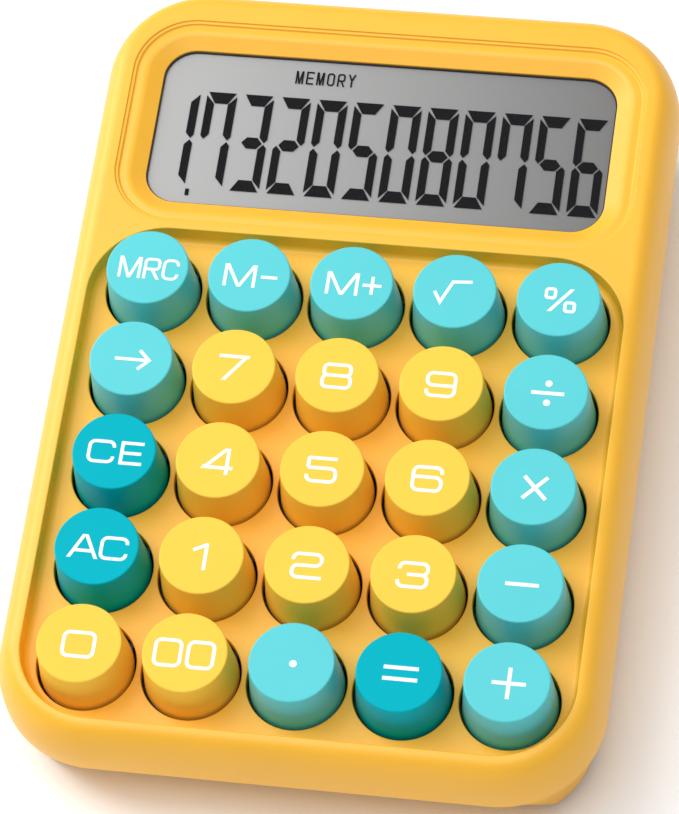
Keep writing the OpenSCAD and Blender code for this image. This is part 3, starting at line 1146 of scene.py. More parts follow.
@dataclass(frozen=True)
class Stroke:
    """A line of a legend.

    Args:
        corners: the corners of its middle line.
        radius: their radius.
        closed: whether its end joins its start.
    """

    corners: tuple[Point, ...]
    radius: float = 0.0
    closed: bool = False

    def outlines(self, width: float) -> list[Path]:
        """The polygons that draw it at a line width."""
        path = rounded(self.corners, [self.radius] * len(self.corners), self.closed, steps=8)
        return ribbon(path, width, self.closed)


@dataclass(frozen=True)
class Slant:
    """A sloping bar of a legend whose two ends are cut level.

    Args:
        start: one end of its middle line.
        end: the other end.
    """

    start: Point
    end: Point

    def outlines(self, width: float) -> list[Path]:
        """The polygon that draws it at a line width.

        Args:
            width: the line width.

        Returns:
            One polygon in a list.
        """
        (x0, y0), (x1, y1) = self.start, self.end
        half = width / 2 * math.hypot(x1 - x0, y1 - y0) / abs(y1 - y0)
        return [[(x0 - half, y0), (x0 + half, y0), (x1 + half, y1), (x1 - half, y1)]]


@dataclass(frozen=True)
class Dot:
    """A round dot of a legend.

    Args:
        centre: its middle.
        radius: its radius.
    """

    centre: Point
    radius: float

    def outlines(self, width: float) -> list[Path]:
        """The polygon that draws it, whatever the line width."""
        return [circle(*self.centre, self.radius, 28)]


Mark = Stroke | Slant | Dot


def bar(x0: float, y0: float, x1: float, y1: float) -> Stroke:
    """A straight stroke between two points."""
    return Stroke(((x0, y0), (x1, y1)))


def box_stroke(x: float, y: float, half_w: float, half_h: float, radius: float) -> Stroke:
    """A closed stroke round a rounded rectangle.

    Args:
        x: its middle.
        y: its middle.
        half_w: half of its width.
        half_h: half of its height.
        radius: its corner radius.

    Returns:
        The stroke.
    """
    corners = ((x - half_w, y - half_h), (x + half_w, y - half_h),
               (x + half_w, y + half_h), (x - half_w, y + half_h))
    return Stroke(corners, radius, True)


def mark_outlines(marks: Iterable[Mark], line: float, dx: float, dy: float) -> list[Path]:
    """The outlines of marks, moved by dx and dy.

    Args:
        marks: what to draw.
        line: the line width.
        dx: how far to move right.
        dy: how far to move up.

    Returns:
        Polygons, which overlap.
    """
    polygons = [polygon for mark in marks for polygon in mark.outlines(line)]
    return [[(x + dx, y + dy) for x, y in polygon] for polygon in polygons]


@dataclass(frozen=True)
class Lettering:
    """Wide, square-shouldered figures, letters and signs, in mm.

    Args:
        line: width of the lines.
        half_w: half of a figure's width between the middles of its lines.
        half_h: half of its height between the middles of its lines.
        bend: corner radius of its lines.
    """

    line: float = 0.66
    half_w: float = 2.56
    half_h: float = 2.3
    bend: float = 1.05

    def digit(self, character: str) -> list[Mark]:
        """The marks of a figure from 0 to 9.

        Args:
            character: the figure.

        Returns:
            Its marks about the origin.
        """
        w, h, r = self.half_w, self.half_h, self.bend
        edge = h + self.line / 2
        hook = h - 1.25  # end of a figure's open hook
        stem = 1.85  # upright of the 4
        foot = -1.3  # level bar of the 4
        shapes: dict[str, list[Mark]] = {
            "0": [box_stroke(0, 0, w + 0.22, h, r)],
            "1": [bar(0.75, edge, 0.75, -edge), bar(-1.6, 1.15, 0.6, edge - 0.35)],
            "2": [Stroke(((-w, hook), (-w, h), (w, h), (w, 0.05), (-w, 0.05), (-w, -h), (w + 0.3, -h)), r)],
            "3": [Stroke(((-w, hook), (-w, h), (w, h), (w, 0.08), (-1.1, 0.08)), r),
                  Stroke(((0.6, 0.08), (w, 0.08), (w, -h), (-w - 0.1, -h), (-w - 0.1, -hook)), r)],
            "4": [bar(stem, edge, stem, -edge), bar(-w - 0.1, foot, w + 0.4, foot),
                  Slant((stem - 0.25, edge), (-w + 0.05, foot - self.line / 2))],
            "5": [Stroke(((w, h), (-w, h), (-w, 0.4)), 0.15),
                  Stroke(((-w, 0.35), (w, 0.35), (w, -h), (-w - 0.1, -h), (-w - 0.1, -hook)), r)],
            "6": [Stroke(((w, hook), (w, h), (-w, h), (-w, -h), (w, -h), (w, 0.35), (-w, 0.35)), r)],
            "7": [bar(-w - 0.3, h, w + 0.15, h), Slant((w - 0.2, edge), (-1.55, -edge))],
            "8": [box_stroke(0, (h + 0.12) / 2, w - 0.12, (h - 0.12) / 2, 0.8),
                  box_stroke(0, (0.12 - h) / 2, w, (h + 0.12) / 2, 0.9)],
            "9": [Stroke(((-w, -hook), (-w, -h), (w, -h), (w, h), (-w, h), (-w, -0.2), (w, -0.2)), r)],
        }
        return shapes[character]

    def letter(self, character: str, left: float, width: float) -> list[Mark]:
        """The marks of a capital letter.

        Args:
            character: A, C, E, M, O, R or Y.
            left: its left edge.
            width: how wide it is.

        Returns:
            Its marks.
        """
        half = self.line / 2
        a, b, h = left + half, left + width - half, self.half_h
        edge, mid = h + half, (a + b) / 2
        r = min(self.bend, width / 3, h / 2)
        cut, bar_y, bar_in = h * 0.45, -h * 0.42, width * 0.14
        shapes: dict[str, list[Mark]] = {
            "A": [Slant((a, -edge), (mid - half / 2, edge)), Slant((b, -edge), (mid + half / 2, edge)),
                  bar(a + bar_in, bar_y, b - bar_in, bar_y)],
            "C": [Stroke(((b, cut), (b, h), (a, h), (a, -h), (b, -h), (b, -cut)), r)],
            "E": [Stroke(((b + half, h), (a, h), (a, -h), (b + half, -h))), bar(a, 0, b, 0)],
            "M": [bar(a, -edge, a, edge), bar(b, -edge, b, edge),
                  Slant((a + half / 2, edge), (mid, -edge)), Slant((b - half / 2, edge), (mid, -edge))],
            "O": [box_stroke(mid, 0, (b - a) / 2, h, r)],
            "R": [Stroke(((a, -edge), (a, h), (b, h), (b, -0.15), (a, -0.15)), r * 0.7),
                  Slant((mid, -0.15), (b, -edge))],
            "Y": [Slant((a, edge), (mid, 0)), Slant((b, edge), (mid, 0)), bar(mid, 0.1, mid, -edge)],
        }
        return shapes[character]

    def sign(self, name: str) -> list[Mark]:
        """The marks of an arithmetic sign.

        Args:
            name: the sign's name.

        Returns:
            Its marks about the origin.
        """
        w = 3.0
        shapes: dict[str, list[Mark]] = {
            "plus": [bar(-w, 0, w, 0), bar(0, -w, 0, w)],
            "minus": [bar(-w, 0, w, 0)],
            "times": [bar(-2.1, -2.2, 2.1, 2.2), bar(-2.1, 2.2, 2.1, -2.2)],
            "divide": [bar(-w, 0, w, 0), Dot((0, 1.95), 0.65), Dot((0, -1.95), 0.65)],
            "equals": [bar(-w - 0.1, 1.08, w + 0.1, 1.08), bar(-w - 0.1, -1.08, w + 0.1, -1.08)],
            "point": [Dot((0, 0), 0.68)],
            "back": [bar(-3.25, 0, 2.9, 0), Stroke(((1.15, 1.95), (3.1, 0), (1.15, -1.95)))],
            "root": [Stroke(((-4.0, -0.05), (-2.75, -2.2), (-0.85, 2.1), (2.7, 2.35)))],
            "percent": [box_stroke(-1.85, 1.35, 0.82, 0.93, 0.45), box_stroke(1.85, -1.25, 0.85, 0.9, 0.45),
                        Slant((2.05, 2.5), (-1.85, -2.35))],
        }
        return shapes[name]


@dataclass(frozen=True)
class KeySpec:
    """One key: its node, place in steps of the pitch, colour and legend.

    Args:
        node: the CAD node and the body it rides on.
        column: steps to the right of the centre key.
        row: steps behind the centre key.
        shade: the cap's colour.
        marks: the legend.
        line: the legend's line width, in mm.
        shift: the legend's place from the cap's middle, in mm.
    """

    node: str
    column: int
    row: int
    shade: Shade
    marks: tuple[Mark, ...]
    line: float
    shift: Point


def all_keys() -> list[KeySpec]:
    """The 25 keys, from the top left.

    Returns:
        Five rows of five.
    """
    font, bold = Lettering(), Lettering(line=0.72)
    capitals, small = Lettering(line=0.62, half_h=2.03), Lettering(line=0.55, half_h=1.93)
    memory = capitals.letter("M", -5.0, 6.0)
    words: dict[str, tuple[Lettering, list[Mark]]] = {
        "memory_recall": (small, small.letter("M", -5.65, 4.2) + small.letter("R", -1.0, 3.15)
                          + small.letter("C", 2.5, 3.15)),
        "memory_minus": (capitals, memory + [bar(1.9, 0, 4.95, 0)]),
        "memory_plus": (capitals, memory + [bar(1.75, 0, 5.25, 0), bar(3.5, -1.85, 3.5, 1.85)]),
        "clear_entry": (capitals, capitals.letter("C", -5.15, 5.1) + capitals.letter("E", 0.85, 4.2)),
        "all_clear": (capitals, capitals.letter("A", -5.4, 5.6) + capitals.letter("C", 0.3, 5.2)),
        "00": (font, [box_stroke(-3.0, 0, 2.3, 2.44, 1.05), box_stroke(2.9, 0, 2.28, 2.44, 1.05)]),
    }
    rows = ("memory_recall memory_minus memory_plus root percent", "back 7 8 9 divide",
            "clear_entry 4 5 6 times", "all_clear 1 2 3 minus", "0 00 point equals plus")
    keys = []
    for i, name in enumerate(" ".join(rows).split()):
        if name.isdigit():
            colour, shift = Shade.YELLOW, (0.0, -0.3)
        else:
            deep = name in ("clear_entry", "all_clear", "equals")
            colour, shift = Shade.DEEP_TEAL if deep else Shade.PALE_TEAL, (0.33, -0.28)
        if name in words:
            style, marks = words[name]
        elif name.isdigit():
            style, marks = font, font.digit(name)
        else:
            style = capitals if name in ("root", "percent", "back") else bold
            marks = font.sign(name)
        keys.append(KeySpec("key_" + name, i % 5 - 2, 2 - i // 5, colour, tuple(marks), style.line, shift))
    return keys


@dataclass
class Key:
    """A cap with its legend, and the slider and return spring of its switch.

    Args:
        spec: which key it is.
        top_r: radius of the cap's top.
        top_z: height of the cap's top.
        skirt_z: height of the cap's lower edge.
        draft: taper of the cap's side, in degrees.
        edge: rounding of the cap's upper edge.
        wall: thickness of the cap's side.
        roof: thickness of the cap's top.
        boss_r: radius of the boss under the roof.
        boss_z: height of the boss's foot.
        socket_r: radius of the hole in the boss.
        socket_z: height of its end.
        depth: how far the legend reaches into the cap.
        proud: how far it stands out.
        pole_r: radius of the slider's lower pole.
        flange_r: radius of its flange.
        flange_z: height of the flange's underside.
        flange_h: thickness of the flange.
        shaft_r: radius of its shaft.
        shaft_z: height of the shaft's top.
        cross: half width and half depth of the two bars of its cross.
        cross_z: height of the cross's top.
        well_z: height of the switch's floor.
        gap: space at each end of the spring.
        travel: how far the key goes down.
        sides: straight steps round the cap.
        slider_sides: straight steps round the slider.
    """

    spec: KeySpec
    top_r: float = 7.62
    top_z: float = 9.09
    skirt_z: float = -1.6
    draft: float = 5.0
    edge: float = 0.32
    wall: float = 1.4
    roof: float = 1.6
    boss_r: float = 2.75
    boss_z: float = 2.7
    socket_r: float = 1.9
    socket_z: float = 6.7
    depth: float = 0.1
    proud: float = 0.02
    pole_r: float = 1.5
    flange_r: float = 4.6
    flange_z: float = -3.2
    flange_h: float = 1.1
    shaft_r: float = 3.3
    shaft_z: float = 1.5
    cross: tuple[Point, Point] = ((1.85, 0.55), (0.6, 1.8))
    cross_z: float = 6.6
    well_z: float = -10.8
    gap: float = 0.05
    travel: float = 3.0
    sides: int = 128
    slider_sides: int = 48

    @property
    def centre(self) -> Point:
        """The key's middle in the deck frame."""
        return self.spec.column * PITCH, self.spec.row * PITCH

    def cap(self) -> Draft:
        """The cap: a drafted cup with a crisp rounded top edge and a boss for the slider.

        Returns:
            Its draft.
        """
        grow = math.tan(math.radians(self.draft))
        roof_z = self.top_z - self.roof
        out_low = self.top_r + (self.top_z - self.skirt_z) * grow
        in_low = out_low - self.wall
        in_high = in_low - (roof_z - self.skirt_z) * grow
        corners = [(0, self.socket_z), (self.socket_r, self.socket_z), (self.socket_r, self.boss_z),
                   (self.boss_r, self.boss_z), (self.boss_r, roof_z), (in_high, roof_z),
                   (in_low, self.skirt_z), (out_low, self.skirt_z), (self.top_r, self.top_z),
                   (0, self.top_z)]
        d = Draft()
        d.lathe(rounded(corners, [0, 0, 0, 0.2, 0.4, 0.6, 0.15, 0.15, self.edge, 0]), self.sides,
                self.centre)
        return d

    def slider(self) -> Draft:
        """The slider: pole, flange, shaft and the cross that the cap sits on.

        Returns:
            Its draft.
        """
        foot, ledge = self.well_z + self.travel + 0.2, self.flange_z + self.flange_h
        profile = rounded([(0, foot), (self.pole_r, foot), (self.pole_r, self.flange_z),
                           (self.flange_r, self.flange_z), (self.flange_r, ledge), (self.shaft_r, ledge),
                           (self.shaft_r, self.shaft_z), (0, self.shaft_z)],
                          [0, 0.3, 0.1, 0.2, 0.2, 0.1, 0.3, 0], steps=3)
        cx, cy = self.centre
        d = Draft()
        d.lathe(profile, self.slider_sides, self.centre)
        d.plates([[(cx - w, cy - h), (cx + w, cy - h), (cx + w, cy + h), (cx - w, cy + h)]
                  for w, h in self.cross], self.shaft_z - 0.05, self.cross_z)
        return d

    def legend(self) -> Draft:
        """The legend as a thin plate let into the cap's top.

        Returns:
            Its draft.
        """
        dx, dy = self.centre[0] + self.spec.shift[0], self.centre[1] + self.spec.shift[1]
        d = Draft()
        d.plates(mark_outlines(self.spec.marks, self.spec.line, dx, dy), self.top_z - self.depth,
                 self.top_z + self.proud)
        return d

    def build(self, shop: Workshop, finish: Finishes, coil: "CoilTree") -> None:
        """Makes the key's pieces and puts them on its body.

        Args:
            shop: where pieces are finished.
            finish: the materials.
            coil: the tree that winds return springs.
        """
        node, slot = self.spec.node, self.spec.shade.value
        shop.piece(node + "_cap", self.cap(), getattr(finish, slot), Seat(node, (node,), slot, 45))
        shop.piece(node + "_slider", self.slider(), finish.slider, Seat(node, smooth=40))
        shop.piece(node + "_legend", self.legend(), finish.legend, Seat(node, smooth=40), merge=1e-5)
        length = self.flange_z - self.well_z - 2 * self.gap
        spring = coil.wind(node + "_spring", self.centre, self.well_z + self.gap, length, shop)
        low = shop.deck.at(*self.centre, self.well_z)
        keep = (length - self.travel) / length
        node + "_press"
        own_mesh(spring)


# ---------------------------------------------------------------------------------------------
# Geometry Nodes
# ---------------------------------------------------------------------------------------------


class NodeTree:
    """A geometry tree made in the script, with named inputs."""

    def __init__(self, name: str, inputs: dict[str, tuple[str, object]]) -> None:
        """Starts a tree.

        Args:
            name: the tree's name.
            inputs: each input's socket type and first value, by name.
        """
        self.tree = bpy.data.node_groups.new(name, "GeometryNodeTree")
        face = self.tree.interface
        face.new_socket("Geometry", in_out="OUTPUT", socket_type="NodeSocketGeometry")
        self.names: dict[str, str] = {}
        for label, (kind, value) in inputs.items():
            socket = face.new_socket(label, in_out="INPUT", socket_type="NodeSocket" + kind)
            socket.default_value = value
            self.names[label] = socket.identifier
        self.source = self.tree.nodes.new("NodeGroupInput")
        self.sink = self.tree.nodes.new("NodeGroupOutput")

    def value(self, label: str) -> bpy.types.NodeSocket:
        """The socket of a named input."""
        return self.source.outputs[label]

    def add(self, kind: str, sockets: dict[object, object],
            settings: Optional[dict[str, object]] = None) -> bpy.types.NodeSocket:
        """Adds a node.

        Args:
            kind: the node's type.
            sockets: values or sockets to link, by name or number; a list links several.
            settings: the node's own settings.

        Returns:
            Its first output.
        """
        node = self.tree.nodes.new(kind)
        for key, value in (settings or {}).items():
            setattr(node, key, value)
        for key, value in sockets.items():
            if isinstance(value, (bpy.types.NodeSocket, list)):
                for socket in value if isinstance(value, list) else [value]:
                    self.tree.links.new(socket, node.inputs[key])
            else:
                node.inputs[key].default_value = value
        return node.outputs[0]

    def times(self, a: object, b: object) -> bpy.types.NodeSocket:
        """The product of two numbers."""
        return self.add("ShaderNodeMath", {0: a, 1: b}, {"operation": "MULTIPLY"})

    def close(self, geometry: bpy.types.NodeSocket, material: bpy.types.Material) -> None:
        """Ends the tree: makes instances real and sets the material.

        Args:
            geometry: the tree's last geometry.
            material: its finish.
        """
        real = self.add("GeometryNodeRealizeInstances", {0: geometry})
        done = self.add("GeometryNodeSetMaterial", {"Geometry": real, "Material": material})
        self.tree.links.new(done, self.sink.inputs[0])

    def mesh(self, name: str, values: dict[str, object]) -> bpy.types.Mesh:
        """The tree's result for some input values, as a plain mesh.

        Args:
            name: the mesh's name.
            values: input values by name.

        Returns:
            A mesh with no modifiers behind it.
        """
        carrier = bpy.data.objects.new(name + "_carrier", bpy.data.meshes.new(name + "_carrier"))
        bpy.context.scene.collection.objects.link(carrier)
        modifier = carrier.modifiers.new("nodes", "NODES")
        modifier.node_group = self.tree
        for label, value in values.items():
            modifier[self.names[label]] = value
        mesh = plain_mesh(carrier, name)
        carrier.modifiers.clear()
        bpy.data.objects.remove(carrier)
        return mesh


class CoilTree:
    """Winds a return spring, in mm.

    Attributes:
        turns: how many turns it has.
        radius: from its middle to the middle of its wire.
        wire: radius of its wire.
    """

    turns: float = 5.0
    radius: float = 2.2
    wire: float = 0.18

    def __init__(self, material: bpy.types.Material) -> None:
        """Builds the tree.

        Args:
            material: the springs' finish.
        """
        t = NodeTree("coil", {"Turns": ("Float", self.turns), "Radius": ("Float", self.radius),
                              "Wire": ("Float", self.wire), "Length": ("Float", 7.0)})
        spiral = t.add("GeometryNodeCurveSpiral", {
            "Resolution": 22, "Rotations": t.value("Turns"), "Start Radius": t.value("Radius"),
            "End Radius": t.value("Radius"), "Height": t.value("Length")})
        ring = t.add("GeometryNodeCurvePrimitiveCircle", {"Resolution": 8, "Radius": t.value("Wire")})
        tube = t.add("GeometryNodeCurveToMesh", {"Curve": spiral, "Profile Curve": ring, "Fill Caps": True})
        t.close(t.add("GeometryNodeSetShadeSmooth", {"Geometry": tube}), material)
        self.tree = t
        self.material = material
        self.stands_for: tuple[str, ...] = ("switch_springs",)

    def wind(self, name: str, centre: Point, low: float, length: float,
             shop: Workshop) -> bpy.types.Object:
        """Makes one spring on the case; the first one stands for the CAD's springs.

        Args:
            name: the piece's name.
            centre: the spring's middle.
            low: height of its foot.
            length: its length.
            shop: where pieces are finished.

        Returns:
            The finished object.
        """
        values = {"Turns": self.turns, "Radius": self.radius, "Wire": self.wire,
                  "Length": length - 2 * self.wire}
        mesh = self.tree.mesh(name, values)
        mesh.transform(Matrix.Translation((*centre, low + self.wire)))
        mesh.transform(shop.deck.matrix)
        replaces, self.stands_for = self.stands_for, ()
        return shop.finish(name, mesh, self.material, Seat(BODY, replaces, "spring_steel", 60.0))


class RowTree:
    """Repeats a small block along a line, for stripes and conductors."""

    def __init__(self, material: bpy.types.Material) -> None:
        """Builds the tree.

        Args:
            material: the finish of what is repeated.
        """
        t = NodeTree("rows", {"Block": ("Vector", (1.0, 1.0, 1.0)), "Step": ("Vector", (1.0, 0.0, 0.0)),
                              "Count": ("Int", 5)})
        line = t.add("GeometryNodeMeshLine", {"Count": t.value("Count"), "Offset": t.value("Step")})
        block = t.add("GeometryNodeMeshCube", {"Size": t.value("Block")})
        t.close(t.add("GeometryNodeInstanceOnPoints", {"Points": line, "Instance": block}), material)
        self.tree = t
        self.material = material

    def lay(self, name: str, start: Sequence[float], size: Sequence[float], step: float, count: int,
            shop: Workshop) -> bpy.types.Object:
        """Makes one row of blocks from left to right.

        Args:
            name: the piece's name.
            start: the first block's middle, in mm.
            size: a block's size, in mm.
            step: from one block to the next, in mm.
            count: how many blocks.
            shop: where pieces are finished.

        Returns:
            The finished object.
        """
        mesh = self.tree.mesh(name, {"Block": tuple(size), "Step": (step, 0.0, 0.0), "Count": count})
        mesh.transform(Matrix.Translation(start))
        mesh.transform(shop.deck.matrix)
        return shop.finish(name, mesh, self.material, Seat(smooth=30.0))


class SolderTree:
    """Sets a joint of solder on each pin of the key switches, in mm.

    Attributes:
        pin: from a switch's middle to each pin.
        radius: radius of a joint's foot.
        keys: switches in a row, and rows.
    """

    pin: float = 5.2
    radius: float = 0.8
    keys: int = 5

    def __init__(self, material: bpy.types.Material) -> None:
        """Builds the tree.

        Args:
            material: the solder's finish.
        """
        t = NodeTree("solder", {"Pitch": ("Float", PITCH), "Keys": ("Int", self.keys),
                                "Pin": ("Float", self.pin), "Radius": ("Float", self.radius)})
        less = t.add("ShaderNodeMath", {0: t.value("Keys"), 1: 1.0}, {"operation": "SUBTRACT"})
        reach = t.times(t.value("Pitch"), less)
        grid = t.add("GeometryNodeMeshGrid", {"Size X": reach, "Size Y": reach,
                                              "Vertices X": t.value("Keys"), "Vertices Y": t.value("Keys")})
        cone = t.add("GeometryNodeMeshCone", {
            "Vertices": 16, "Side Segments": 3, "Radius Top": t.times(t.value("Radius"), 0.35),
            "Radius Bottom": t.value("Radius"), "Depth": t.times(t.value("Radius"), 0.9)})
        joined = []
        for sign in (-1.0, 1.0):
            shift = t.add("ShaderNodeCombineXYZ", {"Y": t.times(t.value("Pin"), sign)})
            moved = t.add("GeometryNodeSetPosition", {"Geometry": grid, "Offset": shift})
            joined.append(t.add("GeometryNodeInstanceOnPoints", {"Points": moved, "Instance": cone}))
        t.close(t.add("GeometryNodeJoinGeometry", {0: joined}), material)
        self.tree = t
        self.material = material

    def lay(self, low: float, shop: Workshop) -> bpy.types.Object:
        """Makes the joints under the main board.

        Args:
            low: height of the board's underside.
            shop: where pieces are finished.

        Returns:
            The finished object.
        """
        values = {"Pitch": PITCH, "Keys": self.keys, "Pin": self.pin, "Radius": self.radius}
        mesh = self.tree.mesh("solder_joints", values)
        mesh.transform(Matrix.Translation((0, 0, low)) @ Matrix.Rotation(math.pi, 4, "X"))
        mesh.transform(shop.deck.matrix)
        return shop.finish("solder_joints", mesh, self.material, Seat(slot="steel_plate", smooth=50.0))


# ---------------------------------------------------------------------------------------------
# Display
# ---------------------------------------------------------------------------------------------


LIT_BARS = {"0": "abcdef", "1": "bc", "2": "abged", "3": "abgcd", "4": "fgbc", "5": "afgcd",
            "6": "afgedc", "7": "fabc", "8": "abcdefg", "9": "abcdfg"}


@dataclass
class Display:
    """The lit figures, the word above them, the clear window and what is behind.

    Args:
        figures: the digits shown, from the left.
        point_after: index of the digit that the decimal point follows.
        first_x: middle of the first digit.
        step: distance between digits.
        low: foot of the digits.
        high: top of the digits.
        half_w: half of the distance between a digit's upright bars.
        upright: width of an upright bar.
        level: height of a level bar.
        thin: half of a bar's thickness.
        plane_z: height at which the figures show.
        film_z: height at which the grey film behind them shows.
        film_low: height of the film's underside.
        opening: outline of the opening that the display fills.
        pane: the window's section as (inset, height).
        border_w: width of the black border.
        border_low: height of its foot.
        border_h: how far it rises over the film.
        word: the word over the figures.
        word_left: left edge of its first letter.
        word_y: its middle line.
        word_step: distance between its letters.
        letter_w: width of a letter.
        font: how it is drawn.
        corner_steps: straight steps in each corner.
    """

    figures: str = "173205080756"
    point_after: int = 0
    first_x: float = -38.7
    step: float = 7.085
    low: float = 60.25
    high: float = 81.35
    half_w: float = 2.12
    upright: float = 1.55
    level: float = 2.4
    thin: float = 0.015
    plane_z: float = 0.75
    film_z: float = 0.6
    film_low: float = -3.8
    opening: Outline = Outline(43.1, 56.75, 89.65, 5.9)
    pane: tuple[Point, ...] = ((0.03, 0.95), (0.03, 1.25), (0.18, 1.4))
    border_w: float = 0.18
    border_low: float = -0.8
    border_h: float = 0.45
    word: str = "MEMORY"
    word_left: float = -18.2
    word_y: float = 85.95
    word_step: float = 2.0
    letter_w: float = 1.45
    font: Lettering = Lettering(line=0.3, half_h=1.25)
    corner_steps: int = 16

    def bars(self, x: float) -> dict[str, Path]:
        """The seven bars of a digit, with slanted ends that leave thin gaps between them.

        Args:
            x: the digit's middle.

        Returns:
            A polygon for each bar, a to g.
        """
        low, high, v = self.low, self.high, self.level
        mid = (low + high) / 2
        out, inn = self.half_w + self.upright / 2, self.half_w - self.upright / 2
        top = [(-out + 0.25, high), (out - 0.25, high), (inn - 0.1, high - v), (-inn + 0.1, high - v)]
        right = [(out, high - 0.75), (out, mid + 0.95), (out - 0.6, mid + 0.18),
                 (inn, mid + v / 2 + 0.1), (inn, high - v - 0.15)]
        middle = [(-out + 0.95, mid), (-inn + 0.35, mid + v / 2), (inn - 0.35, mid + v / 2),
                  (out - 0.95, mid), (inn - 0.35, mid - v / 2), (-inn + 0.35, mid - v / 2)]

        def flipped(path: Path) -> Path:
            """The path turned upside down."""
            return [(a, low + high - b) for a, b in path]

        def swapped(path: Path) -> Path:
            """The path with left and right exchanged."""
            return [(-a, b) for a, b in path]

        shapes = {"a": top, "b": right, "c": flipped(right), "d": flipped(top),
                  "e": swapped(flipped(right)), "f": swapped(right), "g": middle}
        return {name: [(x + a, b) for a, b in path] for name, path in shapes.items()}

    def build_figures(self, shop: Workshop, finish: Finishes) -> None:
        """Makes the lit bars, the decimal point and the word.

        Args:
            shop: where pieces are finished.
            finish: the materials.
        """
        parts: list[list[Path]] = []
        for i, figure in enumerate(self.figures):
            bars = self.bars(self.first_x + i * self.step)
            parts.extend([bars[bar_name]] for bar_name in LIT_BARS[figure])
        x = self.first_x + (self.point_after + 0.5) * self.step
        left, right, foot, head = x - 0.36, x + 0.36, self.low - 1.7, self.low - 0.3
        parts.append([[(left, foot), (right, foot), (right, head), (left, head)]])
        for i, character in enumerate(self.word):
            marks = self.font.letter(character, self.word_left + i * self.word_step, self.letter_w)
            parts.append(mark_outlines(marks, self.font.line, 0, self.word_y))
        d = Draft()
        for polygons in parts:
            d.plates(polygons, self.plane_z - self.thin, self.plane_z + self.thin)
        shop.piece("lit_figures", d, finish.figure,
                   Seat(replaces=("lcd_front_glass",), slot="lcd_glass"), merge=1e-5)

    def rings(self, d: Draft, section: Iterable[Point]) -> list[list[int]]:
        """Adds a loop of the opening's shape for each (inset, height).

        Args:
            d: the draft to add to.
            section: the loops' insets and heights.

        Returns:
            The loops.
        """
        return [d.loop(self.opening.inset(i).points(self.corner_steps), z) for i, z in section]

    def build(self, shop: Workshop, finish: Finishes) -> None:
        """Makes the film, the black border round it, the figures and the clear window.

        Args:
            shop: where pieces are finished.
            finish: the materials.
        """
        film, border, window = Draft(), Draft(), Draft()
        film.prism(self.rings(film, [(0.0, self.film_low), (0.0, self.film_z)]))
        shop.piece("lcd_film_plate", film, finish.film,
                   Seat(replaces=("lcd_rear_glass", "lcd_reflector"), slot="lcd_film"))
        out, low, high = -0.02, self.border_low, self.film_z + self.border_h
        inn = out - self.border_w
        loops = self.rings(border, [(out, low), (out, high), (inn, high), (inn, low)])
        border.stack([*loops, loops[0]])
        shop.piece("window_border", border, finish.black)
        self.build_figures(shop, finish)
        window.prism(self.rings(window, self.pane))
        shop.piece("clear_window", window, finish.window,
                   Seat(replaces=("display_window",), slot="window_acrylic"))


# ---------------------------------------------------------------------------------------------
# What stays as the part made it
# ---------------------------------------------------------------------------------------------


@dataclass
class Works:
    """The case's lower half and the inner pieces, which keep their shape and get a finish.

    Args:
        shop: where pieces are finished.
        finish: the materials.
        ribbon_at: middle of the ribbon cable's first conductor.
        ribbon_wire: size of a conductor.
        ribbon_step: distance between conductors.
        ribbon_count: how many there are.
        zebra_at: middle of the rubber connector's first stripe.
        zebra_stripe: size of a stripe.
        zebra_step: distance between stripes.
        zebra_count: how many there are.
        solder_z: height of the main board's underside.
    """

    shop: Workshop
    finish: Finishes
    ribbon_at: tuple[float, float, float] = (-13.0, 48.0, -11.68)
    ribbon_wire: tuple[float, float, float] = (0.5, 3.4, 0.04)
    ribbon_step: float = 1.0
    ribbon_count: int = 27
    zebra_at: tuple[float, float, float] = (-41.4, 52.79, -4.5)
    zebra_stripe: tuple[float, float, float] = (0.35, 0.04, 4.0)
    zebra_step: float = 0.7
    zebra_count: int = 119
    solder_z: float = -13.92

    def softened(self) -> None:
        """Rounds the edges of the mouldings that a hand can reach."""
        f, shop = self.finish, self.shop
        shop.soften("bottom_case", f.case, 0.45, "case_plastic")
        shop.soften("battery_cover", f.case, 0.2, "case_plastic", "battery_cover", 2)
        shop.soften("rubber_feet", f.foot, 0.25, "foot_rubber")

    def dressed(self) -> None:
        """Gives the inner pieces their finishes."""
        f = self.finish
        finishes = {
            "lcd_holder": f.black, "zebra_strip": f.zebra, "display_board": f.board,
            "ribbon_cable": f.ribbon, "main_board": f.board, "controller_chip": f.black,
            "capacitors": f.blue_sleeve, "crystal": f.steel, "battery_connector": f.ivory,
            "switch_lower_housings": f.switch_base, "switch_upper_housings": f.switch_top,
            "switch_contacts": f.brass, "aaa_cell": f.black, "battery_spring": f.spring,
            "battery_plate": f.steel, "battery_lead_red": f.lead_red,
            "battery_lead_black": f.lead_black, "case_screws": f.steel, "board_screws": f.steel,
            "display_screws": f.steel,
        }
        for node, material in finishes.items():
            materials = frame["nodes"][node].data.materials
            materials.clear()
            materials.append(material)
            log.info("node %s: %s", node, material.name)

    def rows(self) -> None:
        """Adds the ribbon cable's conductors, the rubber connector's stripes and the solder."""
        RowTree(self.finish.brass).lay("ribbon_conductors", self.ribbon_at, self.ribbon_wire,
                                       self.ribbon_step, self.ribbon_count, self.shop)
        RowTree(self.finish.black).lay("zebra_stripes", self.zebra_at, self.zebra_stripe,
                                       self.zebra_step, self.zebra_count, self.shop)
        SolderTree(self.finish.steel).lay(self.solder_z, self.shop)


# ---------------------------------------------------------------------------------------------
# Studio
# ---------------------------------------------------------------------------------------------


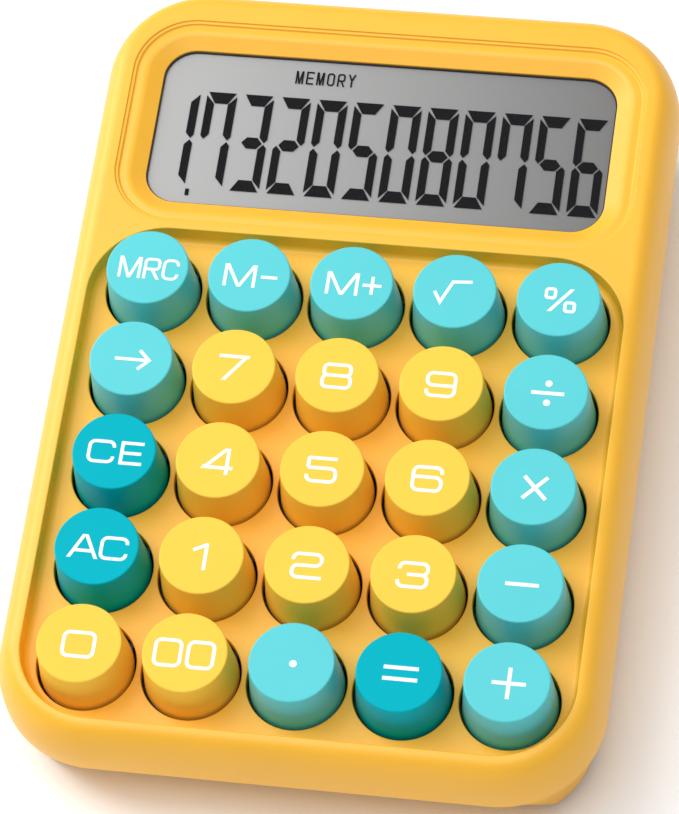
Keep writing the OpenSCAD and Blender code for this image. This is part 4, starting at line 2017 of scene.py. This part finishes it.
@dataclass(frozen=True)
class Lamp:
    """A square soft light that points at the object's middle.

    Args:
        name: the light's name.
        place: where it is, in metres.
        size: length of its side, in metres.
        watts: its power.
    """

    name: str
    place: tuple[float, float, float]
    size: float
    watts: float

    def build(self) -> None:
        """Adds the light."""
        lamp = bpy.data.lights.new(self.name, "AREA")
        lamp.shape = "SQUARE"
        lamp.size = self.size
        lamp.energy = self.watts
        obj = bpy.data.objects.new(self.name, lamp)
        obj.location = self.place
        obj.rotation_euler = (-Vector(self.place)).to_track_quat("-Z", "Y").to_euler()
        bpy.context.scene.collection.objects.link(obj)


@dataclass
class Studio:
    """A plain pale floor, soft lights and the camera.

    Args:
        deck: the deck frame.
        camera_at: the camera's place in the deck frame, in mm.
        camera_turn: its turn from looking straight down on the deck, in degrees about X, Y and Z.
        lens_mm: its focal length on a 36 mm sensor.
        floor_half: half of the floor's side, in metres.
        surroundings: brightness of the white surroundings.
        lamps: the lights.
    """

    deck: DeckFrame
    camera_at: tuple[float, float, float] = (118.8, -342.8, 712.6)
    camera_turn: tuple[float, float, float] = (27.53, 5.39, 8.07)
    lens_mm: float = 195.6
    floor_half: float = 4.0
    surroundings: float = 0.44
    lamps: tuple[Lamp, ...] = (Lamp("key_light", (-0.85, 0.3, 1.25), 1.0, 12.5),
                               Lamp("side_light", (-1.15, 0.55, 0.45), 0.5, 5),
                               Lamp("top_light", (-0.05, -0.2, 1.6), 1.2, 11))

    def floor(self) -> None:
        """Makes the floor."""
        shader = Shader("studio_floor")
        tint = shader.blend(shader.noise(400.0), shade((0.97, 0.97, 0.97)), shade((0.99, 0.99, 0.99)))
        shader.set(Base_Color=tint, Roughness=0.7)
        h = self.floor_half
        mesh = bpy.data.meshes.new("floor")
        mesh.from_pydata([(-h, -h, 0), (h, -h, 0), (h, h, 0), (-h, h, 0)], [], [(0, 1, 2, 3)])
        mesh.materials.append(shader.material)
        obj = bpy.data.objects.new("floor", mesh)
        bpy.context.scene.collection.objects.link(obj)

    def lights(self) -> None:
        """Adds the lights and the pale surroundings."""
        world = bpy.data.worlds.new("studio")
        world.use_nodes = True
        background = world.node_tree.nodes["Background"]
        background.inputs["Color"].default_value = (1, 1, 1, 1)
        background.inputs["Strength"].default_value = self.surroundings
        bpy.context.scene.world = world
        for lamp in self.lamps:
            lamp.build()
        bpy.context.scene.view_settings.view_transform = "Standard"

    def camera(self) -> None:
        """Makes the camera at the viewing angle of the reference view."""
        data = bpy.data.cameras.new("camera")
        data.lens = self.lens_mm
        data.sensor_width = 36.0
        data.clip_start = 0.05
        obj = bpy.data.objects.new("camera", data)
        turn = Euler([math.radians(a) for a in self.camera_turn]).to_matrix().to_4x4()
        lean = Matrix.Rotation(self.deck.lean, 4, "X")
        obj.matrix_world = Matrix.Translation(self.deck.at(*self.camera_at)) @ lean @ turn
        bpy.context.scene.collection.objects.link(obj)
        bpy.context.scene.camera = obj

    def build(self) -> None:
        """Makes the whole studio."""
        self.camera()
        self.floor()
        self.lights()


def main() -> None:
    """Builds the calculator in order, from the case to the studio."""
    logging.basicConfig(level=logging.INFO, format="%(name)s: %(message)s")
    deck = DeckFrame.from_part(front=52.5, top=-1.3, bottom=-2.4)
    shop = Workshop(deck)
    finish = Finishes.make()
    TopCase().build(shop, finish)
    coil = CoilTree(finish.spring)
    for spec in all_keys():
        Key(spec).build(shop, finish, coil)
    Display().build(shop, finish)
    works = Works(shop, finish)
    works.softened()
    works.dressed()
    works.rows()
    Studio(deck).build()
    log.info("%d pieces made", shop.made)


if __name__ == "__main__":
    main()
